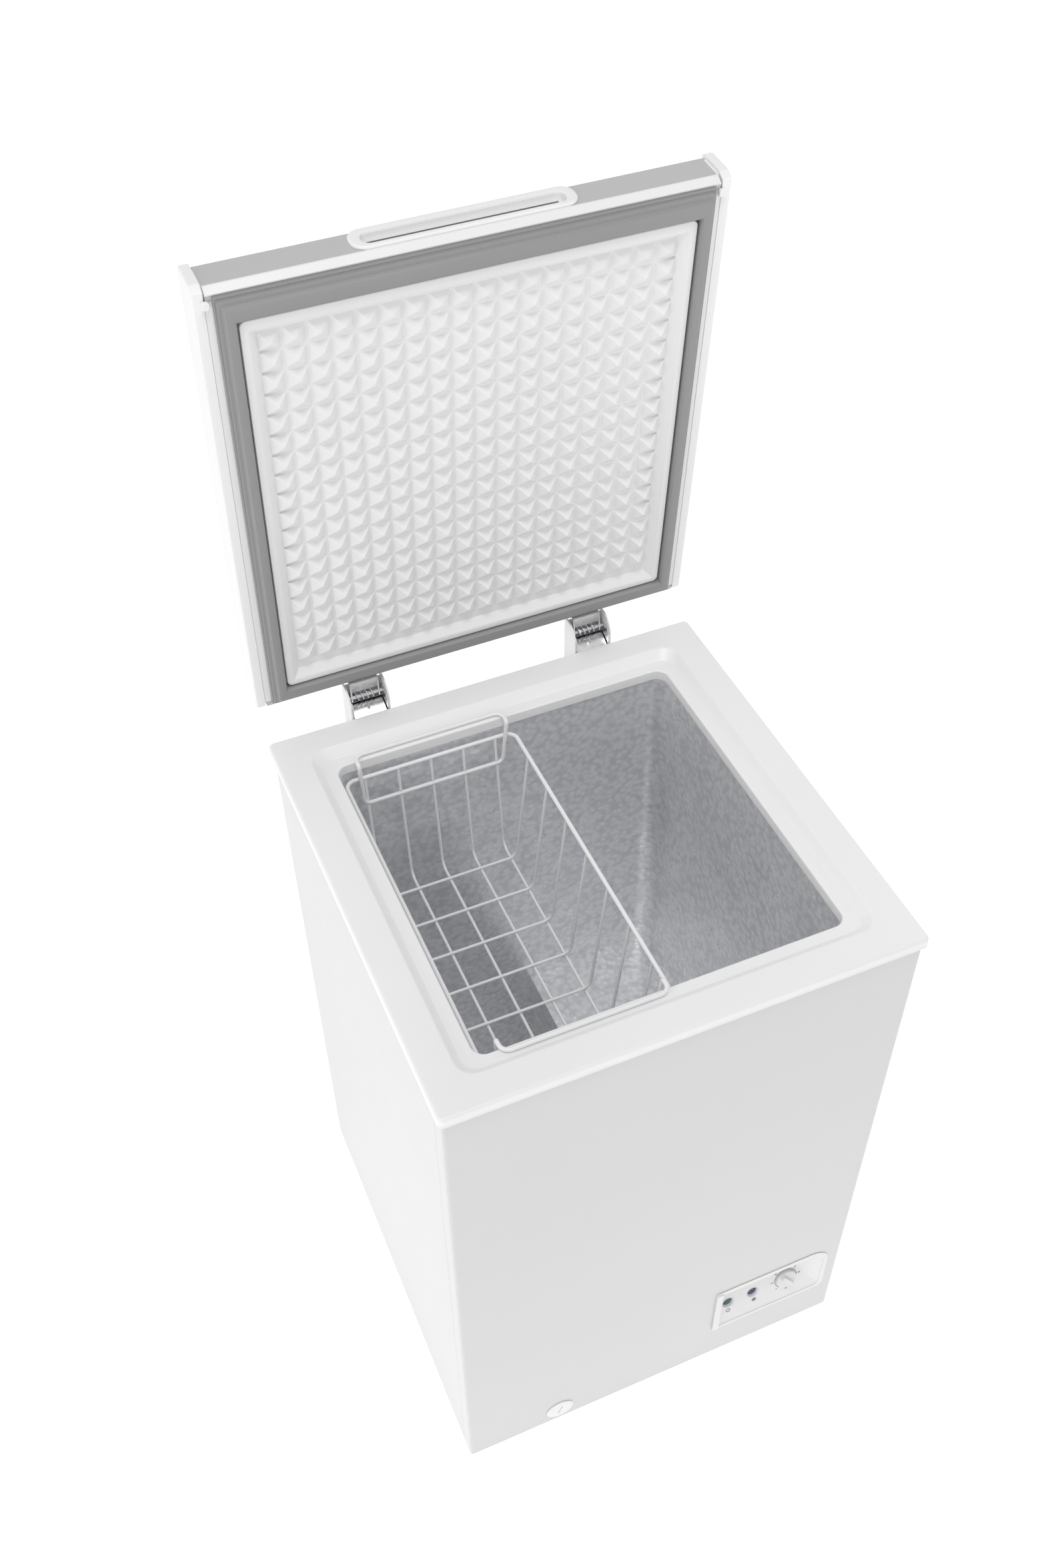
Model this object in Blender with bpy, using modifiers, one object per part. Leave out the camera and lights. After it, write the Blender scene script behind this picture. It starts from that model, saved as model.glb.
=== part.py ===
"""Compact chest freezer: insulated cabinet with a lifting lid on two sprung rear hinges,
lift-out basket, thermostat dial, drain cap and drain plug, compressor and refrigerant tubes.

Axes: +X is the right-hand side seen from the front, -Y is the front, +Z is up.
The origin is the centre of the footprint of the bounding box, on the floor.
The lid stands open at rest.
"""
import math

import bmesh
import bpy
from mathutils import Matrix, Vector

# ---- driving sizes, metres -------------------------------------------------------------
TOP_W = 0.5273            # plastic top frame, width
TOP_D = 0.5330            # plastic top frame, depth
CAB_H = 0.8000            # cabinet height above its feet
FOOT_H = 0.0100           # height of the feet
OPEN_ANGLE = math.radians(85.45)
GAP = 0.0003              # clearance between touching pieces
SHEET = 0.0010            # steel sheet of the cabinet
HALF_W = TOP_W / 2
HALF_D = TOP_D / 2

# hinge axis and lid datum (rear edge of the lid's inner panel, lid shut)
HINGE_Y = 0.2880
HINGE_Z = 0.8106
LID_Y = HINGE_Y - 0.0534
LID_Z = HINGE_Z - 0.0048
LID_TOP = 0.0510          # lid's top face above the datum
LID_BOT = 0.0082          # lid's underside above the datum
LID_FRONT = 0.5009        # lid's front face ahead of the datum
LID_REAR = -0.0310        # lid's rear face behind the datum
CAP_TOP = 0.0520          # top of the end caps
CAP_CORNER = 0.0050       # their rear top corner radius

# the open lid's rear corner sets the deepest point of the whole object
REAR_Y = (HINGE_Y + (LID_Y - LID_REAR - CAP_CORNER - HINGE_Y) * math.cos(OPEN_ANGLE)
          + (LID_Z + CAP_TOP - CAP_CORNER - HINGE_Z) * math.sin(OPEN_ANGLE) + CAP_CORNER)
BODY_Y = -(REAR_Y - HALF_D) / 2

# cabinet shell
BODY_X = HALF_W - 0.0039
BODY_F = -HALF_D + 0.0039
BODY_B = 0.2570
SEAM_Y = BODY_F + 0.0220  # where the front sheet meets the side sheets
PANEL_TOP = CAB_H - 0.0030
SKIRT = 0.0138

# inner tub and the compressor step
TUB_X = 0.2058
TUB_F = -0.2103
TUB_B = 0.2110
TUB_R = 0.0220
TUB_Z = 0.0600
TUB_T = 0.0008
STEP_X = 0.0300
STEP_Z = 0.2750
ROOM_X = 0.0750           # machine room: left wall and roof
ROOM_Z = 0.2302

# top frame
LEDGE_Z = CAB_H - 0.0100
LIP_Z = 0.7770
TUB_TOP = LIP_Z - GAP

# control panel on the front, lower right
PANEL_L = 0.0790
PANEL_R = 0.2430
PANEL_LO = 0.0670
PANEL_HI = 0.1670
FLOOR_LO = 0.0720         # where the slanted floor meets the front
FLOOR_SLOPE = 0.25
DIAL_X = 0.1898
DIAL_Z = 0.1080
LIGHT_Z = 0.1070
POWER_X = 0.1050
RUN_X = 0.1410

# drain
DRAIN_X = -0.1360
DRAIN_Z = 0.0260
DRAIN_Y = -0.1600
PIPE_R = 0.0120

# basket
BASKET_X = -0.0937
BASKET_W = 0.1030         # half width at the rim
BASKET_D = 0.2030         # half length at the rim
BASKET_TOP = 0.7700
BASKET_LOW = 0.6000
BASKET_TAPER = 0.0180

# hinges
HINGE_X = 0.13935

# compressor
COMP_X = 0.1650
COMP_Y = 0.1100
COMP_R = 0.0680

PARTS = "chest_freezer"


# ---- scene helpers ---------------------------------------------------------------------
def clear_scene():
    for obj in list(bpy.data.objects):
        bpy.data.objects.remove(obj, do_unlink=True)


def make_collection(name, hidden):
    coll = bpy.data.collections.new(name)
    coll.hide_render = hidden
    bpy.context.scene.collection.children.link(coll)
    return coll


def material(name, colour, rough, metal=0.0):
    mat = bpy.data.materials.new(name)
    mat.use_nodes = True
    node = mat.node_tree.nodes["Principled BSDF"]
    node.inputs["Base Color"].default_value = (colour[0], colour[1], colour[2], 1.0)
    node.inputs["Roughness"].default_value = rough
    node.inputs["Metallic"].default_value = metal
    mat.diffuse_color = (colour[0], colour[1], colour[2], 1.0)
    return mat


def place(name, data, colour=None, cutter=False):
    """Link new object data, as a part with its material or as a cutter."""
    obj = bpy.data.objects.new(name, data)
    if cutter:
        CUTTERS.objects.link(obj)
        obj.hide_render = True
        obj.display_type = "WIRE"
        return obj
    KEEP.objects.link(obj)
    data.materials.append(material(name + "_mat", *colour))
    return obj


def mesh_object(name, verts, faces, colour=None, cutter=False):
    """A mesh given in cabinet coordinates, moved into the object's own frame."""
    shift = Vector((0.0, BODY_Y, FOOT_H))
    mesh = bpy.data.meshes.new(name)
    mesh.from_pydata([tuple(Vector(v) + shift) for v in verts], [], faces)
    bm = bmesh.new()
    bm.from_mesh(mesh)
    bmesh.ops.recalc_face_normals(bm, faces=bm.faces[:])
    bm.to_mesh(mesh)
    bm.free()
    return place(name, mesh, colour, cutter)


def fillet(points, radius, seg=4, closed=True):
    """Round the corners of a flat outline; radius is one number or one per corner."""
    out = []
    count = len(points)
    for i, point in enumerate(points):
        r = radius[i] if isinstance(radius, (list, tuple)) else radius
        if r <= 0.0 or (not closed and i in (0, count - 1)):
            out.append(tuple(point))
            continue
        here = Vector(point)
        back = (Vector(points[i - 1]) - here).normalized()
        ahead = (Vector(points[(i + 1) % count]) - here).normalized()
        half = back.angle(ahead) / 2
        centre = here + (back + ahead).normalized() * (r / math.sin(half))
        start = here + back * (r / math.tan(half)) - centre
        end = here + ahead * (r / math.tan(half)) - centre
        first = math.atan2(start.y, start.x)
        turn = math.remainder(math.atan2(end.y, end.x) - first, math.tau)
        for k in range(seg + 1):
            a = first + turn * k / seg
            out.append((centre.x + r * math.cos(a), centre.y + r * math.sin(a)))
    return out


def rect(x0, x1, y0, y1, r=0.0, seg=4):
    return fillet([(x0, y0), (x1, y0), (x1, y1), (x0, y1)], r, seg)


def ring(x0, x1, y0, y1, r, z, seg=4):
    return [(x, y, z) for x, y in rect(x0, x1, y0, y1, r, seg)]


def lift(axis, a, b, c):
    """A flat point (a, b) at height c along the given axis."""
    if axis == "X":
        return (c, a, b)
    if axis == "Y":
        return (a, c, b)
    return (a, b, c)


def loft(name, loops, colour=None, closed=False, cutter=False):
    """Skin through loops of equal length; open lofts are capped at both ends."""
    n = len(loops[0])
    verts = [v for loop in loops for v in loop]
    faces = []
    count = len(loops)
    for i in range(count if closed else count - 1):
        a = i * n
        b = ((i + 1) % count) * n
        for k in range(n):
            m = (k + 1) % n
            faces.append((a + k, a + m, b + m, b + k))
    if not closed:
        faces.append(tuple(range(n)))
        faces.append(tuple(range((count - 1) * n, count * n)))
    return mesh_object(name, verts, faces, colour, cutter)


def prism(name, outline, axis, lo, hi, colour=None, cutter=False):
    loops = [[lift(axis, a, b, c) for a, b in outline] for c in (lo, hi)]
    return loft(name, loops, colour, False, cutter)


def block(name, x, y, z, colour=None, cutter=False):
    return prism(name, rect(x[0], x[1], y[0], y[1]), "Z", z[0], z[1], colour, cutter)


def sheet(name, path, axis, lo, hi, thick, colour):
    """Bent sheet: the path is its middle surface."""
    n = len(path)
    verts = [lift(axis, a, b, c) for c in (lo, hi) for a, b in path]
    faces = [(i, i + 1, n + i + 1, n + i) for i in range(n - 1)]
    obj = mesh_object(name, verts, faces, colour)
    mod = obj.modifiers.new("thickness", "SOLIDIFY")
    mod.thickness = thick
    mod.offset = 0.0
    mod.use_even_offset = True
    return obj


def turned(name, profile, spot, colour=None, tilt=(0.0, 0.0, 0.0), steps=24, cutter=False):
    """Body of revolution about its own Z; profile of (radius, height), top to bottom."""
    mesh = bpy.data.meshes.new(name)
    edges = [(i, i + 1) for i in range(len(profile) - 1)]
    mesh.from_pydata([(r, 0.0, z) for r, z in profile], edges, [])
    obj = place(name, mesh, colour, cutter)
    obj.location = Vector(spot) + Vector((0.0, BODY_Y, FOOT_H))
    obj.rotation_euler = tilt
    mod = obj.modifiers.new("turn", "SCREW")
    mod.steps = steps
    mod.render_steps = steps
    mod.use_merge_vertices = True
    mod.merge_threshold = 0.00001
    mod.use_smooth_shade = True
    return obj


def rod(name, spot, radius, length, tilt, colour=None, cutter=False, steps=20):
    """Solid cylinder centred on spot, along its own Z."""
    mesh = bpy.data.meshes.new(name)
    bm = bmesh.new()
    bmesh.ops.create_cone(bm, cap_ends=True, segments=steps, radius1=radius, radius2=radius,
                          depth=length)
    bm.to_mesh(mesh)
    bm.free()
    obj = place(name, mesh, colour, cutter)
    obj.location = Vector(spot) + Vector((0.0, BODY_Y, FOOT_H))
    obj.rotation_euler = tilt
    return obj


def wire(name, points, radius, colour):
    """Round wire or tube through points given in cabinet coordinates."""
    curve = bpy.data.curves.new(name, "CURVE")
    curve.dimensions = "3D"
    curve.bevel_depth = radius
    curve.bevel_resolution = 2
    curve.use_fill_caps = True
    spline = curve.splines.new("POLY")
    spline.points.add(len(points) - 1)
    for slot, p in zip(spline.points, points):
        slot.co = (p[0], p[1] + BODY_Y, p[2] + FOOT_H, 1.0)
    return place(name, curve, colour)


def combine(obj, tool, operation):
    mod = obj.modifiers.new(operation.lower(), "BOOLEAN")
    mod.operation = operation
    mod.solver = "EXACT"
    mod.object = tool
    return obj


def cut(obj, tool):
    return combine(obj, tool, "DIFFERENCE")


def join(obj, tool):
    return combine(obj, tool, "UNION")


def soften(obj, width, segments=2, angle=40.0):
    mod = obj.modifiers.new("edges", "BEVEL")
    mod.width = width
    mod.segments = segments
    mod.limit_method = "ANGLE"
    mod.angle_limit = math.radians(angle)
    return obj


def smooth(obj, angle=35.0):
    obj.data.shade_smooth()
    obj.data.set_sharp_from_angle(angle=math.radians(angle))
    return obj


def pivot(name, spot, parts, turn=0.0):
    """Empty on a joint axis that carries the moving parts."""
    empty = bpy.data.objects.new(name, None)
    KEEP.objects.link(empty)
    where = Vector(spot) + Vector((0.0, BODY_Y, FOOT_H))
    empty.location = where
    for part in parts:
        part.parent = empty
        part.matrix_parent_inverse = Matrix.Translation(-where)
    empty.rotation_euler = (turn, 0.0, 0.0)


# ---- cabinet ---------------------------------------------------------------------------
WHITE = ((0.84, 0.84, 0.84), 0.35)
TRIM = ((0.86, 0.86, 0.86), 0.40)
ZINC = ((0.60, 0.61, 0.62), 0.45, 1.0)
BLACK = ((0.03, 0.03, 0.03), 0.45)
FOAM = ((0.80, 0.72, 0.48), 0.90)
COPPER = ((0.72, 0.40, 0.26), 0.35, 1.0)
SHINY = ((0.78, 0.78, 0.78), 0.22, 1.0)
FLOOR_TILT = math.atan2(1.0, FLOOR_SLOPE)
FACING_FRONT = (math.radians(90.0), 0.0, 0.0)
ALONG_X = (0.0, math.radians(90.0), 0.0)


def front_panel():
    x = BODY_X - SHEET / 2
    y = BODY_F + SHEET / 2
    path = fillet([(x, SEAM_Y), (x, y), (-x, y), (-x, SEAM_Y)], 0.0035, 4, False)
    obj = sheet("front_panel", path, "Z", 0.0, PANEL_TOP, SHEET, WHITE)
    outline = control_outline(-0.0025)
    cut(obj, prism("front_panel_window", outline, "Y", BODY_F - 0.01, BODY_F + 0.01, cutter=True))
    cut(obj, rod("front_panel_drain_hole", (DRAIN_X, BODY_F, DRAIN_Z), PIPE_R + 0.0008, 0.02,
                 FACING_FRONT, cutter=True))
    return smooth(obj)


def side_panel(name, side):
    x = side * (BODY_X - SHEET / 2)
    y = BODY_B - SHEET / 2
    path = [(x, SEAM_Y + 0.0004), (x, y), (x - side * 0.0120, y)]
    return sheet(name, path, "Z", 0.0, PANEL_TOP, SHEET, WHITE)


def back_panel():
    x = BODY_X - 0.0015
    obj = block("back_panel", (-x, x), (BODY_B + GAP, BODY_B + 0.0012), (0.0, PANEL_TOP), ZINC)
    window = block("back_panel_window", (ROOM_X + 0.012, BODY_X - 0.016), (0.25, 0.27),
                   (0.022, ROOM_Z - 0.012), cutter=True)
    return cut(obj, window)


def base_pan():
    """Pressed steel floor of the cabinet with an upturned rim."""
    x = BODY_X - SHEET - GAP
    f = BODY_F + SHEET + GAP
    b = BODY_B - SHEET - GAP
    t = 0.0012
    loops = [ring(-x, x, f, b, 0.003, GAP, 2),
             ring(-x, x, f, b, 0.003, 0.012, 2),
             ring(-x + t, x - t, f + t, b - t, 0.002, 0.012, 2),
             ring(-x + t, x - t, f + t, b - t, 0.002, GAP + t, 2)]
    return loft("base_pan", loops, ZINC)


def foot(name, side, y):
    profile = [(0.0, 0.0), (0.0150, 0.0), (0.0160, -0.0012), (0.0145, -FOOT_H), (0.0, -FOOT_H)]
    return turned(name, profile, (side * 0.2150, y, 0.0), BLACK, steps=20)


def foam_insulation():
    """Foamed-in insulation between the shell and the tub, with room for both tube coils."""
    t = 0.0018
    x = BODY_X - SHEET - GAP - t
    f = BODY_F + SHEET + GAP + t
    b = BODY_B - SHEET - GAP - t
    low = 0.0020
    band = 0.0056
    room = 0.0095
    ix = TUB_X + TUB_T + GAP
    fi = TUB_F - TUB_T - GAP
    bi = TUB_B + TUB_T + GAP

    def outside(inset, z):
        return ring(-x + inset, x - inset, f + inset, b - inset, 0.002 + 1.5 * inset, z, 6)

    def inside(grow, z):
        return ring(-ix - grow, ix + grow, fi - grow, bi + grow, TUB_R + 0.001, z, 6)

    loops = [outside(0.0, low), outside(0.0, 0.250), outside(band, 0.256),
             outside(band, 0.740), outside(0.0, 0.746), outside(0.0, 0.7965),
             ring(-0.2330, 0.2330, -0.2365, 0.2390, 0.020, 0.7965, 6),
             ring(-0.2225, 0.2225, -0.2260, 0.2280, 0.020, 0.7862, 6),
             ring(-ix, ix, fi, bi, 0.0155, 0.7862, 6), ring(-ix, ix, fi, bi, 0.0155, LIP_Z, 6),
             inside(0.0, 0.765), inside(0.0, 0.745), inside(room, 0.736),
             inside(room, 0.300), inside(0.0, 0.291), inside(0.0, TUB_Z - TUB_T - GAP)]
    obj = loft("foam_insulation", loops, FOAM)
    step = block("foam_step", (STEP_X + TUB_T + GAP, 0.2400), (-0.2400, 0.2400),
                 (0.0300, STEP_Z - TUB_T - GAP), cutter=True)
    join(obj, step)
    room_space = block("foam_machine_room", (ROOM_X - GAP, 0.3), (-0.3, 0.3),
                       (-0.01, ROOM_Z + SHEET + GAP), cutter=True)
    cut(obj, room_space)
    across = rod("foam_drain_across", (DRAIN_X, -0.2200, DRAIN_Z), PIPE_R + 0.0006, 0.1446,
                 FACING_FRONT, cutter=True, steps=24)
    down = rod("foam_drain_down", (DRAIN_X, DRAIN_Y, 0.0415), PIPE_R + 0.0006, 0.0550,
               (0.0, 0.0, 0.0), cutter=True, steps=24)
    cut(obj, across)
    return cut(obj, down)


def stepped_tub(name, grow, top, colour=None, cutter=False):
    """The tub's space, with the raised step over the machine room left solid."""
    x = TUB_X + grow
    f = TUB_F - grow
    b = TUB_B + grow
    r = TUB_R + grow
    base = TUB_Z - grow
    loops = [ring(-x + 0.008, x - 0.008, f + 0.008, b - 0.008, r - 0.008, base, 6),
             ring(-x + 0.0023, x - 0.0023, f + 0.0023, b - 0.0023, r - 0.0023, base + 0.0023, 6),
             ring(-x, x, f, b, r, base + 0.008, 6),
             ring(-x, x, f, b, r, top, 6)]
    obj = loft(name, loops, colour, False, cutter)
    step = block(name + "_step", (STEP_X + grow, 0.3), (-0.3, 0.3), (-0.1, STEP_Z - grow),
                 cutter=True)
    return cut(obj, step)


def inner_liner():
    """Embossed aluminium tub with the compressor step on the right."""
    obj = stepped_tub("inner_liner", TUB_T, TUB_TOP, ((0.72, 0.73, 0.75), 0.35, 1.0))
    cut(obj, stepped_tub("inner_liner_space", 0.0, TUB_TOP + 0.05, cutter=True))
    hole = rod("inner_liner_drain", (DRAIN_X, DRAIN_Y, TUB_Z), PIPE_R - 0.0020, 0.02,
               (0.0, 0.0, 0.0), cutter=True)
    return smooth(cut(obj, hole))


def top_frame():
    """Moulded frame: outer skirt, flat gasket land, sloped recess, basket ledge and lip."""
    t = 0.0020
    low = CAB_H - SKIRT
    edge = 0.0025
    loops = [ring(-HALF_W, HALF_W, -HALF_D, HALF_D, 0.0045, low),
             ring(-HALF_W, HALF_W, -HALF_D, HALF_D, 0.0045, CAB_H - edge),
             ring(-HALF_W + 0.0008, HALF_W - 0.0008, -HALF_D + 0.0008, HALF_D - 0.0008, 0.0045,
                  CAB_H - 0.0008),
             ring(-HALF_W + edge, HALF_W - edge, -HALF_D + edge, HALF_D - edge, 0.0045, CAB_H),
             ring(-0.2275, 0.2275, -0.2313, 0.2335, 0.0200, CAB_H),
             ring(-0.2175, 0.2175, -0.2211, 0.2224, 0.0150, LEDGE_Z),
             ring(-0.2035, 0.2035, -0.2080, 0.2087, 0.0130, LEDGE_Z),
             ring(-0.2035, 0.2035, -0.2080, 0.2087, 0.0130, LIP_Z),
             ring(-0.2055, 0.2055, -0.2100, 0.2107, 0.0150, LIP_Z),
             ring(-0.2055, 0.2055, -0.2100, 0.2107, 0.0150, LEDGE_Z - t),
             ring(-0.2185, 0.2185, -0.2221, 0.2234, 0.0160, LEDGE_Z - t),
             ring(-0.2285, 0.2285, -0.2323, 0.2345, 0.0210, CAB_H - t),
             ring(-HALF_W + t, HALF_W - t, -HALF_D + t, HALF_D - t, 0.0030, CAB_H - t),
             ring(-HALF_W + t, HALF_W - t, -HALF_D + t, HALF_D - t, 0.0030, low)]
    return smooth(loft("top_frame", loops, TRIM, closed=True))


def loop_path(x, f, b, r, z0, z1, turns):
    """Rising coil around a rounded rectangle."""
    base = rect(-x, x, f, b, r, 4)
    total = len(base) * turns
    return [(base[i % len(base)][0], base[i % len(base)][1], z0 + (z1 - z0) * i / total)
            for i in range(total + 1)]


def evaporator_coil():
    gap = TUB_T + 0.0050
    path = loop_path(TUB_X + gap, TUB_F - gap, TUB_B + gap, TUB_R + gap, 0.320, 0.720, 4)
    return wire("evaporator_coil", path, 0.0040, ((0.75, 0.76, 0.78), 0.4, 1.0))


def condenser_coil():
    """Hot-wall coil: one tube run back and forth inside the two sides and the front."""
    x = BODY_X - SHEET - 0.0038
    f = BODY_F + SHEET + 0.0038
    rear = 0.2200
    path = []
    rows = 5
    low = 0.2750
    pitch = 0.1100
    for row in range(rows):
        z = low + pitch * row
        pass_over = fillet([(x, rear), (x, f), (-x, f), (-x, rear)], 0.005, 3, False)
        if row % 2:
            pass_over.reverse()
        path += [(p[0], p[1], z) for p in pass_over]
    return wire("condenser_coil", path, 0.0030, ((0.45, 0.46, 0.48), 0.5, 1.0))


def machine_room_sheet():
    """Bent steel sheet that parts the foam from the machine room."""
    x = ROOM_X + SHEET / 2
    z = ROOM_Z + SHEET / 2
    path = [(x, 0.0140), (x, z), (BODY_X - 0.0028, z)]
    return sheet("machine_room_sheet", path, "Y", BODY_F + 0.0032, BODY_B - 0.0032, SHEET, ZINC)


def machine_cover():
    """Louvred cover over the machine room's rear opening, with a hole for the lead."""
    lo = ROOM_X + 0.004
    hi = BODY_X - 0.006
    y = BODY_B + 0.0015
    obj = prism("machine_cover", rect(lo, hi, 0.0120, ROOM_Z - 0.003, 0.008), "Y", y, y + 0.003,
                WHITE)
    slots = 7
    for i in range(slots):
        z = 0.075 + 0.019 * i
        tool = prism("cover_slot_%d" % i, rect(lo + 0.022, hi - 0.022, z, z + 0.006, 0.0029, 3),
                     "Y", y - 0.01, y + 0.02, cutter=True)
        cut(obj, tool)
    return cut(obj, rod("cover_lead_hole", (0.2150, y, 0.0400), 0.0085, 0.03, FACING_FRONT,
                        cutter=True))


def lead_gland():
    """Rubber grommet where the mains lead enters the machine room."""
    y = BODY_B + 0.0030
    profile = [(0.0048, 0.0045), (0.0110, 0.0045), (0.0110, 0.0018), (0.0082, 0.0018),
               (0.0082, -0.0018), (0.0100, -0.0018), (0.0100, -0.0040), (0.0048, -0.0040),
               (0.0048, 0.0045)]
    return turned("lead_gland", profile, (0.2150, y, 0.0400), BLACK, FACING_FRONT, 20)


def compressor_shell():
    """Hermetic compressor can with its weld seam; the small top hole is the charging stub."""
    r = COMP_R
    profile = [(0.0030, 0.1900), (0.0250, 0.1880), (0.0480, 0.1780), (0.0620, 0.1580),
               (r, 0.1280), (r, 0.1130), (r + 0.0030, 0.1120), (r + 0.0030, 0.1060),
               (r, 0.1050), (r, 0.0550), (0.0600, 0.0330), (0.0400, 0.0240), (0.0060, 0.0220),
               (0.0060, 0.0300), (0.0380, 0.0320), (0.0540, 0.0400), (r - 0.007, 0.0600),
               (r - 0.007, 0.1250), (0.0560, 0.1520), (0.0440, 0.1700), (0.0230, 0.1800),
               (0.0030, 0.1820), (0.0030, 0.1900)]
    return turned("compressor", profile, (COMP_X, COMP_Y, 0.0), BLACK, steps=20)


def compressor_plate():
    obj = block("compressor_plate", (0.0880, 0.2420), (0.0400, 0.1800), (0.0190, 0.0212), BLACK)
    for i, (x, y) in enumerate(mount_spots()):
        cut(obj, rod("plate_hole_%d" % i, (x, y, 0.02), 0.0062, 0.02, (0, 0, 0), cutter=True))
    return obj


def mount_spots():
    return [(x, y) for x in (0.1010, 0.2290) for y in (0.0530, 0.1670)]


def compressor_mount(name, spot):
    """Rubber grommet between the compressor's plate and the base pan."""
    profile = [(0.0, 0.0260), (0.0090, 0.0260), (0.0090, 0.0216), (0.0056, 0.0216),
               (0.0056, 0.0186), (0.0095, 0.0186), (0.0110, 0.0040), (0.0110, 0.0018),
               (0.0, 0.0018)]
    return turned(name, profile, (spot[0], spot[1], 0.0), BLACK, steps=12)


def relay_cover():
    y1 = COMP_Y - COMP_R - 0.0036
    obj = block("relay_cover", (0.1430, 0.1870), (y1 - 0.0320, y1), (0.0600, 0.1120), BLACK)
    return soften(obj, 0.003)


def filter_dryer():
    profile = [(0.0, 0.0660), (0.0030, 0.0640), (0.0035, 0.0520), (0.0095, 0.0420),
               (0.0095, -0.0420), (0.0035, -0.0520), (0.0030, -0.0640), (0.0, -0.0660)]
    return turned("filter_dryer", profile, (0.1000, -0.0900, 0.1400), COPPER, steps=20)


def suction_line():
    start = (COMP_X - COMP_R - 0.0060, COMP_Y, 0.0800)
    path = [start, (0.0880, COMP_Y, 0.0800), (0.0860, COMP_Y - 0.002, 0.0860),
            (0.0850, 0.0900, 0.2000), (0.0850, 0.0700, 0.2240), (0.0850, 0.0400, 0.2260)]
    return wire("suction_line", path, 0.0033, COPPER)


def discharge_line():
    top = 0.1500
    path = [(COMP_X + 0.030, COMP_Y - COMP_R + 0.001, top + 0.02),
            (COMP_X + 0.030, 0.0200, top + 0.02), (COMP_X + 0.030, -0.0100, top),
            (COMP_X, -0.0500, 0.0600), (0.1400, -0.0700, 0.0450), (0.1060, -0.0880, 0.0500),
            (0.1000, -0.0900, 0.0600), (0.1000, -0.0900, 0.0730)]
    return wire("discharge_line", path, 0.0025, COPPER)


# ---- control panel ---------------------------------------------------------------------
def floor_y(z, behind=0.0):
    return BODY_F + FLOOR_SLOPE * (z - FLOOR_LO) + behind


def control_outline(grow):
    return fillet([(PANEL_L - grow, PANEL_LO - grow), (PANEL_R + grow, PANEL_LO - grow),
                   (PANEL_R + grow, PANEL_HI + grow), (PANEL_L - grow, PANEL_HI + grow)],
                  [0.003 + grow if grow > -0.003 else 0.001, 0.010 + grow, 0.028 + grow,
                   0.003 + grow if grow > -0.003 else 0.001], 5)


def recess_block(name, grow, front, tool):
    """Wedge-shaped pocket: sloping floor, and a sloping right-hand wall."""
    outline = fillet([(0.0875 - grow, FLOOR_LO - grow), (0.2365 + grow, FLOOR_LO - grow),
                      (0.2365 + grow, 0.1595 + grow), (0.0875 - grow, 0.1595 + grow)],
                     [0.001, 0.006, 0.022, 0.001], 5)
    obj = prism(name, outline, "Y", front, -0.2200, TRIM if not tool else None, cutter=tool)
    lo = 0.0400
    hi = 0.2000
    floor = prism(name + "_floor", [(-0.2900, lo), (floor_y(lo, grow), lo),
                                    (floor_y(hi, grow), hi), (-0.2900, hi)], "X", 0.0, 0.4,
                  cutter=True)
    combine(obj, floor, "INTERSECT")
    run = 2.3
    wall = 0.2365 + grow
    side = prism(name + "_side", [(0.0, -0.2900), (wall + 0.0274 * run, -0.2900),
                                  (wall - 0.0426 * run, -0.2200), (0.0, -0.2200)], "Z", 0.0, 0.3,
                 cutter=True)
    return combine(obj, side, "INTERSECT")


def control_bezel():
    """Recessed housing for the thermostat dial and the two lights."""
    obj = recess_block("control_bezel", 0.0018, BODY_F - 0.0006, False)
    flange = prism("bezel_flange", control_outline(0.0), "Y", BODY_F - 0.0022, BODY_F - GAP,
                   cutter=True)
    join(obj, flange)
    rib = prism("bezel_rib", rect(PANEL_L, 0.0872, PANEL_LO + 0.002, PANEL_HI - 0.004, 0.002, 2),
                "Y", BODY_F - 0.0036, BODY_F - 0.0010, cutter=True)
    join(obj, rib)
    cut(obj, recess_block("bezel_space", 0.0, -0.2850, True))
    for name, x, z, r in (("power", POWER_X, LIGHT_Z, 0.0066), ("run", RUN_X, LIGHT_Z, 0.0066),
                          ("dial", DIAL_X, DIAL_Z, 0.0036)):
        tool = rod("bezel_%s_hole" % name, (x, floor_y(z), z), r, 0.012, (FLOOR_TILT, 0.0, 0.0),
                   cutter=True)
        cut(obj, tool)
    return obj


def lens(name, x, colour):
    """Round indicator lens standing just behind the slanted floor."""
    back = 0.0030
    spot = (x, floor_y(LIGHT_Z) + back * math.sin(FLOOR_TILT), LIGHT_Z - back * math.cos(FLOOR_TILT))
    profile = [(0.0, 0.0012), (0.0045, 0.0008), (0.0062, 0.0), (0.0062, -0.0100), (0.0, -0.0100)]
    return turned(name, profile, spot, colour, (FLOOR_TILT, 0.0, 0.0), 20)


def thermostat_body():
    """Switch body behind the dial."""
    obj = block("thermostat_body", (DIAL_X - 0.0210, DIAL_X + 0.0210), (-0.2350, -0.2080),
                (DIAL_Z - 0.0160, DIAL_Z + 0.0160), ZINC)
    return soften(obj, 0.002)


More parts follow.
